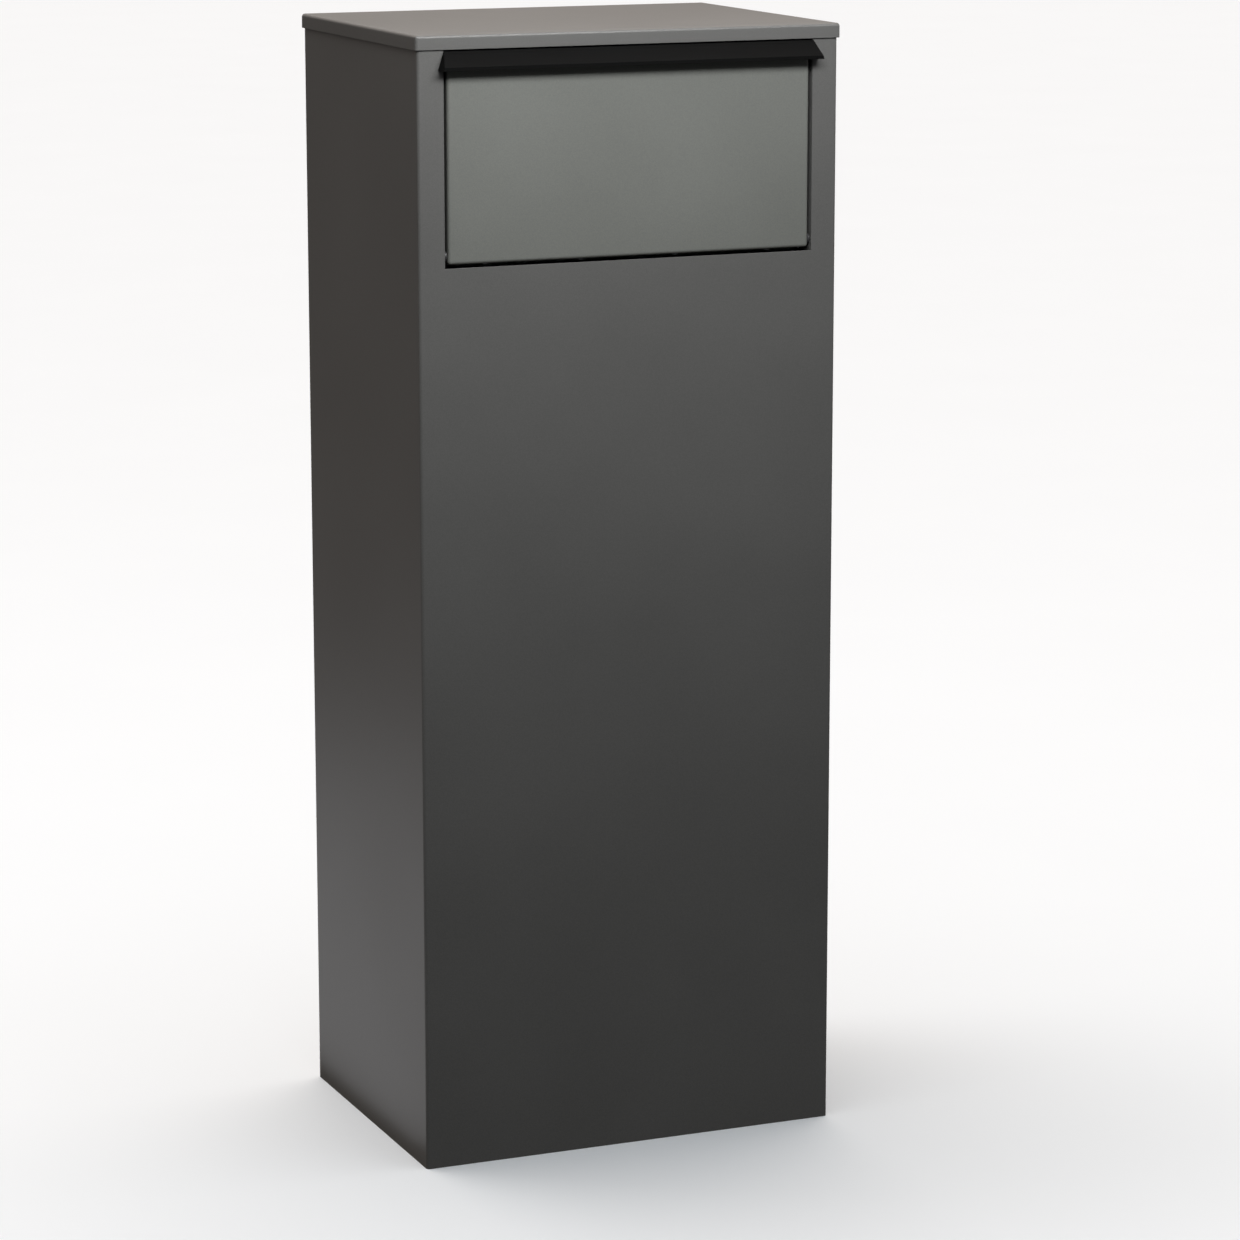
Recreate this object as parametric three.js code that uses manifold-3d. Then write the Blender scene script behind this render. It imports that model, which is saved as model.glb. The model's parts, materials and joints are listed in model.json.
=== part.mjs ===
// Parcel drop box: a tall powder-coated steel cabinet with a tip-out hatch under its cap,
// a sloping tray that drops the parcel inside, and a locked collection door at the back.
// Millimetres, +Z up. The origin is on the floor in the middle of the body, and the front faces -Y.

import * as THREE from 'three';
import { mergeVertices } from 'three/addons/utils/BufferGeometryUtils.js';
import Module from 'manifold-3d';

const wasm = await Module();
wasm.setup();

// ---- Driving dimensions ----

// Body and sheet
const BODY_WIDTH = 400;
const BODY_DEPTH = 300;
const TOTAL_HEIGHT = 1020; // floor to the top of the cap
const SHEET = 1.5; // thickness of the steel sheet
const BEND = 1.5; // inside radius of a fold
const SEAT = 0.3; // air between two pieces that lie together
const WALL_CLEARANCE = 2.5; // end of an inner piece to the body's side wall, past the corner bend
const PAST = 1; // a cutter runs this far past the face it cuts

// Rivets, used for the tray and for the lock's strike
const RIVET_DIAMETER = 3.2;
const RIVET_HEAD = 6;
const RIVET_HEAD_HEIGHT = 1.4;
const RIVET_HOLE = 3.8;

// Cap
const CAP_SKIRT = 13; // height of the rim that laps over the body
const CAP_CLEARANCE = 0.5; // cap to body, all round and on top
const STUD_DIAMETER = 5;
const STUD_LENGTH = 9.5;
const STUD_SPACING = 240; // left stud to right stud
const NUT_ACROSS_FLATS = 8;
const NUT_THICKNESS = 4;

// Hatch opening and flap
const HATCH_MARGIN = 24.5; // front sheet left at each side of the opening
const HATCH_DROP = 202.5; // top of the cap down to the lower edge of the opening
const HATCH_GAP = 3; // shadow gap round the flap
const HATCH_TOP_GAP = 1.5; // flap to the cap's rim
const JAMB_DEPTH = 16; // sides of the opening, from the front face
const JAMB_FLANGE = 18;
const JAMB_FOOT = 15; // runs on below the opening
const FLAP_RIM = 14; // folded rim behind the flap's face
const FLAP_FOOT = 11; // the rim's lower wall, which carries the tray
const HATCH_TRAVEL = THREE.MathUtils.degToRad(52);

// Hatch pivots
const PIVOT_INSET = 7; // axis behind the front face and above the flap's lower edge
const PIVOT_DIAMETER = 6;
const PIVOT_HEAD = 10;
const PIVOT_HEAD_THICKNESS = 2.5;
const RUNNING_CLEARANCE = 0.3; // round a pin that turns, on the radius

// Tray, cheeks and stops of the hatch
const TRAY_LENGTH = 190;
const TRAY_SLOPE = THREE.MathUtils.degToRad(45); // below level when the hatch is shut
const TRAY_SIDE = 12; // height of its side walls
const TRAY_LIP = 10; // turned-down end
const TRAY_RIVET_PITCH = 90;
const TRAY_RIVET_EDGE = 4; // rivet centres in from the end of the flap's foot
const CHEEK_RADIUS = 172;
const CHEEK_REACH = 110; // how far down the tray the cheeks run
const STOP_START = 60; // the stop tabs run from here to STOP_END, from the pivot
const STOP_END = 160;
const STOP_TAB_WIDTH = 9;
const BUFFER_THICKNESS = 3;
const BUFFER_WIDTH = 6;
const BUFFER_LENGTH = 60;
const BUFFER_AIR = 0.5; // buffer to jamb at full travel

// Grip strip
const GRIP_PROJECTION = 14;
const GRIP_HEIGHT = 16;
const GRIP_WALL = 2.2;
const GRIP_LAP = 5; // the strip's lower edge laps past each side of the opening
const GRIP_FLARE = 5; // its ends' lower corners stand outside the upper ones
const GRIP_LIP = 3; // upright face at the strip's outer edge
const GRIP_TOP_FLAT = 1.5;
const GRIP_SCREW_INSET = 31.5; // outer screws in from the flap's sides
const GRIP_SCREW_DROP = 2; // screws below the strip's middle height
const GRIP_SCREW = 4;
const GRIP_SCREW_HOLE = 4.6;
const GRIP_SCREW_HEAD = 7.6;
const GRIP_SCREW_HEAD_HEIGHT = 2.8;

// Rails
const SILL_RAIL_HEIGHT = 30;
const SILL_RAIL_DEPTH = 12;
const SILL_RAIL_DROP = 4; // below the edge of the opening, clear of the turning flap
const HEADER_DEPTH = 20;
const HEADER_LIP = 24; // down behind the flap
const HATCH_SEAL_HEIGHT = 12;
const REAR_TOP_RAIL = 36;
const REAR_BOTTOM_RAIL = 34;
const REAR_RAIL_DEPTH = 30;
const REBATE_LIP = 10; // stands behind the rim of the rear door
const REBATE_GAP = 2; // rim of the rear door to the rebate lip, filled by a seal
const DOOR_SEAL_INSET = 2; // end of a seal to the hinge relief

// Rear returns and door
const RETURN_WIDTH = 26; // rear face left at each side of the door opening
const RETURN_FOLD = 18;
const DOOR_GAP = 2.5;
const DOOR_RIM = 14;
const HINGE_EDGE = 8; // hinge axis in from the edge of the door
const HINGE_INSET = 7; // hinge axis in from the rear face
const HINGE_RELIEF = 26; // rebate lip cut back round the hinge
const HINGE_PIN = 6;
const HINGE_PIN_REACH = 8; // end of the pin past the edge wall of the door
const HINGE_PIN_HEAD = 9.2;
const HINGE_PIN_HEAD_THICKNESS = 2.5;
const BUSH_WALL = 1.2;
const BUSH_REACH = 3; // end of the bush past the edge wall of the door
const BUSH_HEAD = 13;
const STIFFENER_WIDTH = 40;
const STIFFENER_DEPTH = 12;
const STIFFENER_END = 18; // end of a stiffener to the edge of the door
const STIFFENER_SPREAD = 440; // lower stiffener to upper stiffener

// Cam lock
const LOCK_HEIGHT = 510; // above the floor
const LOCK_EDGE = 21.5; // lock axis in from the edge of the door
const LOCK_DIAMETER = 19;
const LOCK_FLANGE = 23;
const LOCK_FLANGE_THICKNESS = 2;
const LOCK_BEHIND_FACE = 20; // length of the housing inside the door's face
const LOCK_NUT = 24;
const LOCK_NUT_THICKNESS = 3;
const PLUG_DIAMETER = 12;
const PLUG_RECESS = 0.5; // face of the plug behind the flange
const KEYWAY_WIDTH = 2;
const KEYWAY_HEIGHT = 8;
const KEYWAY_DEPTH = 8;
const TANG = 7;
const CAM_LENGTH = 36;
const CAM_WIDTH = 14;
const CAM_EYE = 18;
const CAM_THICKNESS = 3;
const CAM_SCREW = 4;
const CAM_SCREW_REACH = 3; // end of the cam screw inside the plug
const CAM_SCREW_HEAD = 11.2;
const CAM_SCREW_HEAD_HEIGHT = 3;
const STRIKE_HEIGHT = 50;
const STRIKE_WIDTH = 16;

// Floor
const FLOOR_RIM = 20;
const ANCHOR_HOLE = 11;
const ANCHOR_INSET = 50; // hole centres in from the body's outer faces
const ANCHOR_PLUG_LAP = 3.5; // head of a plug past the edge of its hole
const ANCHOR_PLUG_HEAD = 2;
const MAT_HOLE_GAP = 3; // mat to the head of a plug
const MAT_THICKNESS = 3;
const MAT_BORDER = 8;

// Baffle behind the hatch
const BAFFLE_SWEEP_CLEARANCE = 14; // to the end of the tray as it swings up
const BAFFLE_RISE = 18; // lower edge above the pivot
const BAFFLE_HEIGHT = 130;
const BAFFLE_BEHIND = 20; // baffle to the rear face, clear of the door
const BAFFLE_FLANGE = 30;
const BAFFLE_HEM = 9;

// ---- Places worked out from them ----

const side = BODY_WIDTH / 2;
const front = -BODY_DEPTH / 2;
const back = BODY_DEPTH / 2;
const insideFront = front + SHEET + SEAT;
const insideSide = side - SHEET - SEAT;
const skirtBottom = TOTAL_HEIGHT - CAP_SKIRT;
const shellTop = TOTAL_HEIGHT - SHEET - CAP_CLEARANCE;

const openingHalf = side - HATCH_MARGIN;
const openingSill = TOTAL_HEIGHT - HATCH_DROP;
const flapHalf = openingHalf - HATCH_GAP;
const flapBottom = openingSill + HATCH_GAP;
const flapTop = skirtBottom - HATCH_TOP_GAP;
const openingTop = flapTop + HATCH_GAP;
const pivotY = front + PIVOT_INSET;
const pivotZ = flapBottom + PIVOT_INSET;
const pivotBore = PIVOT_DIAMETER / 2 + RUNNING_CLEARANCE;
const cheekOuter = flapHalf - SHEET - SEAT;
const cheekInner = cheekOuter - SHEET;
const trayHalf = cheekInner - 2 * SEAT;

const doorway = side - RETURN_WIDTH;
const doorHalf = doorway - DOOR_GAP;
const doorwayTop = TOTAL_HEIGHT - REAR_TOP_RAIL;
const doorwayBottom = REAR_BOTTOM_RAIL;
const hingeX = -doorHalf + HINGE_EDGE;
const hingeY = back - HINGE_INSET;
const rebateY = back - DOOR_RIM - REBATE_GAP;
const lockX = doorHalf - LOCK_EDGE;
const headerBack = insideFront + HEADER_DEPTH;
const studX = STUD_SPACING / 2;
const frontStudY = insideFront + HEADER_DEPTH / 2;
const rearStudY = back - SHEET - REAR_RAIL_DEPTH / 2;

// ---- Shaping ----

const ROUND_STEPS = 20; // flats round a pin, a hole or a turned piece
const BEND_STEPS = 3; // flats round a fold
const SIDES = [['left', -1], ['right', 1]];
const at = (x, y) => new THREE.Vector2(x, y);
const span = (a, b) => [Math.min(a, b), Math.max(a, b)];

function solidOf(geometry) {
  const bare = geometry.clone();
  for (const name of Object.keys(bare.attributes)) {
    if (name !== 'position') bare.deleteAttribute(name);
  }
  const merged = mergeVertices(bare, 1e-4);
  return new wasm.Manifold(new wasm.Mesh({
    numProp: 3,
    vertProperties: new Float32Array(merged.attributes.position.array),
    triVerts: new Uint32Array(merged.index.array),
  }));
}

function geometryOf(solid) {
  const mesh = solid.getMesh();
  const geometry = new THREE.BufferGeometry();
  geometry.setAttribute('position', new THREE.BufferAttribute(mesh.vertProperties, 3));
  geometry.setIndex(new THREE.BufferAttribute(mesh.triVerts, 1));
  geometry.computeVertexNormals();
  return geometry;
}

function combine(method, [first, ...rest]) {
  return geometryOf(rest.reduce((sum, next) => sum[method](solidOf(next)), solidOf(first)));
}

const join = (...pieces) => combine('add', pieces);
const cut = (piece, ...tools) => combine('subtract', [piece, ...tools]);
const common = (...pieces) => combine('intersect', pieces);

function block([x0, x1], [y0, y1], [z0, z1]) {
  const geometry = new THREE.BoxGeometry(x1 - x0, y1 - y0, z1 - z0);
  return geometry.translate((x0 + x1) / 2, (y0 + y1) / 2, (z0 + z1) / 2);
}

const extrude = (shape, depth) => new THREE.ExtrudeGeometry(shape, { depth, bevelEnabled: false });

// Points along an arc, both ends included
function arc(centre, radius, from, to, steps) {
  return Array.from({ length: steps + 1 }, (_, i) => {
    const angle = from + ((to - from) * i) / steps;
    return at(centre.x + radius * Math.cos(angle), centre.y + radius * Math.sin(angle));
  });
}

// A shape drawn in (y, z), extruded along X
function alongX(shape, [x0, x1]) {
  const turn = new THREE.Matrix4().makeBasis(
    new THREE.Vector3(0, 1, 0),
    new THREE.Vector3(0, 0, 1),
    new THREE.Vector3(1, 0, 0),
  );
  return extrude(shape, x1 - x0).applyMatrix4(turn).translate(x0, 0, 0);
}

// A shape drawn in (x, z), extruded along Y
function alongY(shape, [y0, y1]) {
  return extrude(shape, y1 - y0).rotateX(Math.PI / 2).translate(0, y1, 0);
}

// A shape drawn in (x, y), extruded along Z
function alongZ(shape, [z0, z1]) {
  return extrude(shape, z1 - z0).translate(0, 0, z0);
}

// A rod or a hole's cutter, along one axis through `centre`
function rod(radius, axis, [from, to], centre = [0, 0]) {
  const geometry = new THREE.CylinderGeometry(radius, radius, to - from, ROUND_STEPS);
  geometry.translate(0, (from + to) / 2, 0);
  if (axis === 'x') return geometry.rotateZ(-Math.PI / 2).translate(0, centre[0], centre[1]);
  if (axis === 'y') return geometry.translate(centre[0], 0, centre[1]);
  return geometry.rotateX(Math.PI / 2).translate(centre[0], centre[1], 0);
}

// A turned piece: its profile holds [radius, height] pairs, and its axis is +Y
const turned = (profile) =>
  new THREE.LatheGeometry(profile.map(([radius, height]) => at(radius, height)), ROUND_STEPS);

// A ring with a square section, from height `from` to `to` along +Y
const ring = (inner, outer, from, to) =>
  turned([[inner, from], [outer, from], [outer, to], [inner, to], [inner, from]]);

// A sheet folded along the line of one face. The metal lies on the left of that line.
function foldedSheet(face) {
  const directions = face.slice(1).map((p, i) => p.clone().sub(face[i]).normalize());
  const left = (d) => at(-d.y, d.x);
  const near = [face[0].clone()];
  const far = [face[0].clone().addScaledVector(left(directions[0]), SHEET)];
  for (let i = 1; i < face.length - 1; i += 1) {
    const before = left(directions[i - 1]);
    const after = left(directions[i]);
    const turn = Math.atan2(before.cross(after), before.dot(after));
    const sign = Math.sign(turn);
    const radius = sign > 0 ? BEND + SHEET : BEND;
    const centre = before.clone().add(after).multiplyScalar((sign * radius) / (1 + before.dot(after)));
    centre.add(face[i]);
    for (let step = 0; step <= BEND_STEPS; step += 1) {
      const normal = before.clone().rotateAround(at(0, 0), (turn * step) / BEND_STEPS);
      near.push(centre.clone().addScaledVector(normal, -sign * radius));
      far.push(centre.clone().addScaledVector(normal, SHEET - sign * radius));
    }
  }
  const last = face[face.length - 1];
  near.push(last.clone());
  far.push(last.clone().addScaledVector(left(directions[directions.length - 1]), SHEET));
  return new THREE.Shape([...near, ...far.reverse()]);
}

// A section with a flat foot at -depth and two rounded corners at 0
function crownedSection(width, depth, radius) {
  const half = width / 2;
  return new THREE.Shape([
    at(-half, -depth),
    at(half, -depth),
    ...arc(at(half - radius, -radius), radius, 0, Math.PI / 2, BEND_STEPS),
    ...arc(at(radius - half, -radius), radius, Math.PI / 2, Math.PI, BEND_STEPS),
  ]);
}

function crownedBlock(width, length, depth, radius) {
  return common(
    alongY(crownedSection(width, depth, radius), [-length / 2, length / 2]),
    alongX(crownedSection(length, depth, radius), [-width / 2, width / 2]),
  );
}

// A shallow pan folded from one sheet: its face is up at z = 0 and its four walls go down
function foldedPan(width, length, depth) {
  const inside = crownedBlock(width - 2 * SHEET, length - 2 * SHEET, depth + SHEET, BEND);
  return cut(crownedBlock(width, length, depth, BEND + SHEET), inside.translate(0, 0, -SHEET));
}

// A right-hand piece made into the left-hand one: mirrored across X, with its triangles turned to
// face out again
function mirrored(geometry) {
  geometry.applyMatrix4(new THREE.Matrix4().makeScale(-1, 1, 1));
  const index = geometry.index.array;
  for (let i = 0; i < index.length; i += 3) [index[i], index[i + 1]] = [index[i + 1], index[i]];
  return geometry;
}

function hexagon(acrossFlats, bore) {
  const middle = at(0, 0);
  const shape = new THREE.Shape(arc(middle, acrossFlats / Math.sqrt(3), 0, 2 * Math.PI, 6).slice(1));
  shape.holes.push(new THREE.Path(arc(middle, bore, 0, 2 * Math.PI, ROUND_STEPS).slice(1)));
  return shape;
}

// ---- Finishes ----

const finish = (color, roughness, metalness) => ({ color, roughness, metalness });
const POWDER_COAT = finish(0x6a6c6c, 0.42, 0.35);
const BLACK_GRIP = finish(0x141414, 0.5, 0);
const ZINC = finish(0xb8bcc0, 0.35, 1);
const GALVANISED = finish(0x9a9ea2, 0.45, 1);
const RUBBER = finish(0x202020, 0.85, 0);
const NYLON = finish(0x222223, 0.55, 0);
const BRIGHT_CHROME = finish(0xd6d8da, 0.15, 1);

const dropBox = new THREE.Group();
const hatch = new THREE.Group();
const rearDoor = new THREE.Group();
const lockCore = new THREE.Group();
hatch.position.set(0, pivotY, pivotZ);
rearDoor.position.set(hingeX, hingeY, 0);
lockCore.position.set(lockX - hingeX, back - hingeY, LOCK_HEIGHT);
dropBox.add(hatch, rearDoor);
rearDoor.add(lockCore);

function place(group, name, geometry, look, position = [0, 0, 0]) {
  const mesh = new THREE.Mesh(geometry, new THREE.MeshStandardMaterial(look));
  mesh.name = name;
  mesh.position.set(...position);
  group.add(mesh);
  return mesh;
}


// ---- Body shell: one sheet wraps round the front and both sides, and returns at the back ----

function bodyShell() {
  const wrap = alongZ(foldedSheet([
    at(-doorway, back - RETURN_FOLD),
    at(-doorway, back),
    at(-side, back),
    at(-side, front),
    at(side, front),
    at(side, back),
    at(doorway, back),
    at(doorway, back - RETURN_FOLD),
  ]), [0, shellTop]);
  const opening = block([-openingHalf, openingHalf], [front - PAST, insideFront], [openingSill, openingTop]);
  return cut(wrap, opening);
}

place(dropBox, 'body_shell', bodyShell(), POWDER_COAT);

// ---- Jambs: an angle behind the front sheet at each side of the opening, which carries a pivot ----

function jamb() {
  const angle = alongZ(foldedSheet([
    at(openingHalf + JAMB_FLANGE, insideFront),
    at(openingHalf, insideFront),
    at(openingHalf, front + JAMB_DEPTH),
  ].reverse()), [openingSill - JAMB_FOOT, openingTop]);
  const headRoom = PIVOT_HEAD / 2 + PAST;
  const notch = block(
    [openingHalf + SHEET, openingHalf + JAMB_FLANGE + PAST],
    [insideFront - PAST, insideFront + SHEET + BEND],
    [pivotZ - headRoom, pivotZ + headRoom],
  );
  return cut(angle, notch, rod(pivotBore, 'x', [openingHalf - PAST, openingHalf + 2 * SHEET],
    [pivotY, pivotZ]));
}

place(dropBox, 'hatch_jamb_left', mirrored(jamb()), POWDER_COAT);
place(dropBox, 'hatch_jamb_right', jamb(), POWDER_COAT);

// ---- Cap: a folded pan that laps over the body, held down by studs and nuts ----

const studPlaces = SIDES.flatMap(([name, hand]) => [
  [`front_${name}`, hand * studX, frontStudY],
  [`rear_${name}`, hand * studX, rearStudY],
]);
const capOverlap = 2 * (CAP_CLEARANCE + SHEET);
const capPan = foldedPan(BODY_WIDTH + capOverlap, BODY_DEPTH + capOverlap, CAP_SKIRT);
const studs = studPlaces.map(([, x, y]) =>
  rod(STUD_DIAMETER / 2, 'z', [-SHEET - STUD_LENGTH, -SHEET / 2], [x, y]));
place(dropBox, 'top_cap', join(capPan, ...studs), POWDER_COAT, [0, 0, TOTAL_HEIGHT]);

const nut = alongZ(hexagon(NUT_ACROSS_FLATS, STUD_DIAMETER / 2 + SEAT), [-NUT_THICKNESS, 0]);
for (const [name, x, y] of studPlaces) {
  place(dropBox, `cap_nut_${name}`, nut.clone(), ZINC, [x, y, shellTop - SHEET - SEAT]);
}

// ---- Rails that close the shell: header and sill at the hatch, top and bottom at the door ----

const studHoles = studPlaces.map(([, x, y]) =>
  rod(STUD_DIAMETER / 2 + RUNNING_CLEARANCE, 'z', [doorwayTop + 2 * SHEET, TOTAL_HEIGHT], [x, y]));
const railHalf = insideSide - WALL_CLEARANCE;

function headerRail() {
  const lipBottom = shellTop - HEADER_LIP;
  const channel = foldedSheet([
    at(headerBack, lipBottom),
    at(headerBack, shellTop),
    at(insideFront, shellTop),
    at(insideFront, openingTop + SHEET),
  ]);
  const lipHalf = trayHalf - TRAY_SIDE / 2;
  const notches = SIDES.map(([, hand]) => block(
    span(hand * lipHalf, hand * side),
    [headerBack - 2 * SHEET, headerBack + PAST],
    [lipBottom - PAST, openingTop],
  ));
  return cut(alongX(channel, [-railHalf, railHalf]), ...notches, ...studHoles);
}

place(dropBox, 'header_rail', headerRail(), POWDER_COAT);

const sillRailTop = openingSill - SILL_RAIL_DROP;
place(dropBox, 'sill_rail', alongX(foldedSheet([
  at(insideFront + SILL_RAIL_DEPTH, sillRailTop),
  at(insideFront, sillRailTop),
  at(insideFront, sillRailTop - SILL_RAIL_HEIGHT),
]), [-flapHalf, flapHalf]), POWDER_COAT);

const hingeHole = (radius, z) => rod(radius, 'z', z, [hingeX, hingeY]);
const rebateRelief = (z) =>
  block([-side, -doorway + HINGE_RELIEF], [rebateY - 2 * SHEET, rebateY + SEAT / 2], z);
const rearRailSpan = [-doorway + SEAT, doorway - SEAT];

const rearTopRail = alongX(foldedSheet([
  at(rebateY, doorwayTop - REBATE_LIP),
  at(rebateY, doorwayTop),
  at(back, doorwayTop),
  at(back, shellTop),
  at(back - REAR_RAIL_DEPTH, shellTop),
]), rearRailSpan);
place(dropBox, 'rear_top_rail', cut(
  rearTopRail,
  rebateRelief([doorwayTop - REBATE_LIP - PAST, doorwayTop - BEND]),
  hingeHole(HINGE_PIN / 2 + SEAT, [doorwayTop - PAST, doorwayTop + SHEET + PAST]),
  ...studHoles,
), POWDER_COAT);

const floorBack = back - RETURN_FOLD - 2 * SEAT; // the floor pan ends in front of the rear returns
const rearBottomRail = alongX(foldedSheet([
  at(floorBack + SEAT, 0),
  at(back, 0),
  at(back, doorwayBottom),
  at(rebateY, doorwayBottom),
  at(rebateY, doorwayBottom + REBATE_LIP),
]), rearRailSpan);
place(dropBox, 'rear_bottom_rail', cut(
  rearBottomRail,
  rebateRelief([doorwayBottom + BEND, doorwayBottom + REBATE_LIP + PAST]),
  hingeHole(HINGE_PIN / 2 + SEAT, [doorwayBottom - SHEET - PAST, doorwayBottom + PAST]),
), POWDER_COAT);

// ---- Floor: a pan with four anchor holes, their plugs and a loose mat ----

const anchors = SIDES.flatMap(([name, hand]) => [
  [`front_${name}`, hand * (side - ANCHOR_INSET), front + ANCHOR_INSET],
  [`rear_${name}`, hand * (side - ANCHOR_INSET), back - ANCHOR_INSET],
]);
const anchorHoles = (radius, z) => anchors.map(([, x, y]) => rod(radius, 'z', z, [x, y]));
const floorFront = insideFront + SEAT; // a little more air, past the shell's corner bends
const floorWidth = 2 * (insideSide - SEAT);
const floorLength = floorBack - floorFront;
const floorMiddle = (floorBack + floorFront) / 2;
const floorPan = foldedPan(floorWidth, floorLength, FLOOR_RIM)
  .rotateX(Math.PI)
  .translate(0, floorMiddle, 0);
place(dropBox, 'floor_pan', cut(floorPan, ...anchorHoles(ANCHOR_HOLE / 2, [-PAST, SHEET + PAST])),
  GALVANISED);

const plugHead = ANCHOR_HOLE / 2 + ANCHOR_PLUG_LAP;
const matBottom = SHEET + SEAT;
const matHalf = insideSide - SHEET - MAT_BORDER;
const mat = block(
  [-matHalf, matHalf],
  [insideFront + SHEET + MAT_BORDER, floorBack - SHEET - MAT_BORDER],
  [matBottom, matBottom + MAT_THICKNESS],
);
const throughMat = [matBottom - PAST, matBottom + MAT_THICKNESS + PAST];
place(dropBox, 'floor_mat', cut(mat, ...anchorHoles(plugHead + MAT_HOLE_GAP, throughMat)), RUBBER);

const anchorPlug = turned([
  [0, SEAT],
  [ANCHOR_HOLE / 2 - SEAT, SEAT],
  [ANCHOR_HOLE / 2 - SEAT, matBottom],
  [plugHead, matBottom],
  [plugHead - ANCHOR_PLUG_HEAD / 2, matBottom + ANCHOR_PLUG_HEAD],
  [0, matBottom + ANCHOR_PLUG_HEAD],
]).rotateX(Math.PI / 2);
for (const [name, x, y] of anchors) {
  place(dropBox, `anchor_plug_${name}`, anchorPlug.clone(), RUBBER, [x, y, 0]);
}

// ---- Baffle: a fixed slope behind the hatch that keeps hands out of the compartment ----

const sweep = PIVOT_INSET + TRAY_LENGTH;
const baffleLowY = pivotY + sweep + BAFFLE_SWEEP_CLEARANCE;
const baffleLowZ = pivotZ + BAFFLE_RISE;
const baffleHighY = back - BAFFLE_BEHIND;
const baffleHighZ = baffleLowZ + BAFFLE_HEIGHT - BAFFLE_FLANGE;
const baffleHalf = insideSide - SEAT;
const baffleSheet = alongX(foldedSheet([
  at(baffleHighY, baffleHighZ + BAFFLE_FLANGE),
  at(baffleHighY, baffleHighZ),
  at(baffleLowY, baffleLowZ),
  at(baffleLowY, baffleLowZ - BAFFLE_HEM),
]), [-baffleHalf, baffleHalf]);
const baffleGusset = new THREE.Shape([
  at(baffleHighY + SHEET / 2, baffleHighZ + BAFFLE_FLANGE),
  at((baffleHighY + baffleLowY) / 2, (baffleHighZ + baffleLowZ) / 2),
  at(baffleHighY + SHEET / 2, baffleHighZ),
]);
const baffleEnds = SIDES.map(([, hand]) =>
  alongX(baffleGusset, span(hand * (baffleHalf - SHEET), hand * baffleHalf)));
place(dropBox, 'anti_theft_baffle', join(baffleSheet, ...baffleEnds), GALVANISED);

// ---- Seals ----

place(dropBox, 'hatch_seal', block(
  [-trayHalf + TRAY_SIDE, trayHalf - TRAY_SIDE],
  [front + FLAP_RIM + SEAT, headerBack - SHEET - SEAT],
  [openingTop - HATCH_SEAL_HEIGHT, openingTop],
), RUBBER);

const sealSpan = [-doorway + HINGE_RELIEF + DOOR_SEAL_INSET, doorHalf - DOOR_RIM];
const sealDepth = [rebateY + SEAT, back - DOOR_RIM - SEAT];
place(dropBox, 'door_seal_top',
  block(sealSpan, sealDepth, [doorwayTop - REBATE_LIP, doorwayTop - DOOR_GAP]), RUBBER);
place(dropBox, 'door_seal_bottom',
  block(sealSpan, sealDepth, [doorwayBottom + DOOR_GAP, doorwayBottom + REBATE_LIP]), RUBBER);

// ---- Hatch pivots: studs pressed into the jambs, with nylon washers in the side gaps ----

const studOuter = openingHalf + SHEET + SEAT;
const pivotStud = turned([
  [0, cheekInner],
  [PIVOT_DIAMETER / 2, cheekInner],
  [PIVOT_DIAMETER / 2, studOuter],
  [PIVOT_HEAD / 2, studOuter],
  [PIVOT_HEAD / 2, studOuter + PIVOT_HEAD_THICKNESS],
  [0, studOuter + PIVOT_HEAD_THICKNESS],
]).rotateZ(-Math.PI / 2);
const pivotWasher = ring(pivotBore, PIVOT_HEAD / 2, flapHalf + SEAT, openingHalf - SEAT)
  .rotateZ(-Math.PI / 2);
for (const [name, hand] of SIDES) {
  const stud = place(dropBox, `hatch_pivot_${name}`, pivotStud.clone(), ZINC, [0, pivotY, pivotZ]);
  const washer = place(dropBox, `pivot_washer_${name}`, pivotWasher.clone(), NYLON, [0, pivotY, pivotZ]);
  if (hand < 0) {
    stud.rotation.z = Math.PI;
    washer.rotation.z = Math.PI;
  }
}

// ---- Hatch, drawn round its pivot axis: flap, grip strip, tray, cheeks and stop buffers ----

const flapFace = -PIVOT_INSET; // in y
const flapLow = -PIVOT_INSET; // in z
const flapHigh = flapTop - pivotZ;
const footTop = flapLow + SHEET + SEAT; // the tray's foot stands on the flap's lower wall
const footEnd = flapFace + FLAP_FOOT;
const gripHalf = openingHalf + GRIP_LAP;
const gripTopHalf = gripHalf - GRIP_FLARE;
const gripBack = flapFace - SEAT;
const gripScrews = [['left', -1], ['middle', 0], ['right', 1]]
  .map(([name, hand]) => [name, hand * (flapHalf - GRIP_SCREW_INSET)]);
const gripScrewZ = flapHigh - GRIP_HEIGHT / 2 - GRIP_SCREW_DROP;
const gripHole = (y, x) => rod(GRIP_SCREW_HOLE / 2, 'y', y, [x, gripScrewZ]);
const trayRivets = [-1.5, -0.5, 0.5, 1.5].map((n) => n * TRAY_RIVET_PITCH);
const trayRivetY = footEnd - TRAY_RIVET_EDGE;
const trayRivetHole = (z, x) => rod(RIVET_HOLE / 2, 'z', z, [x, trayRivetY]);

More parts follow.
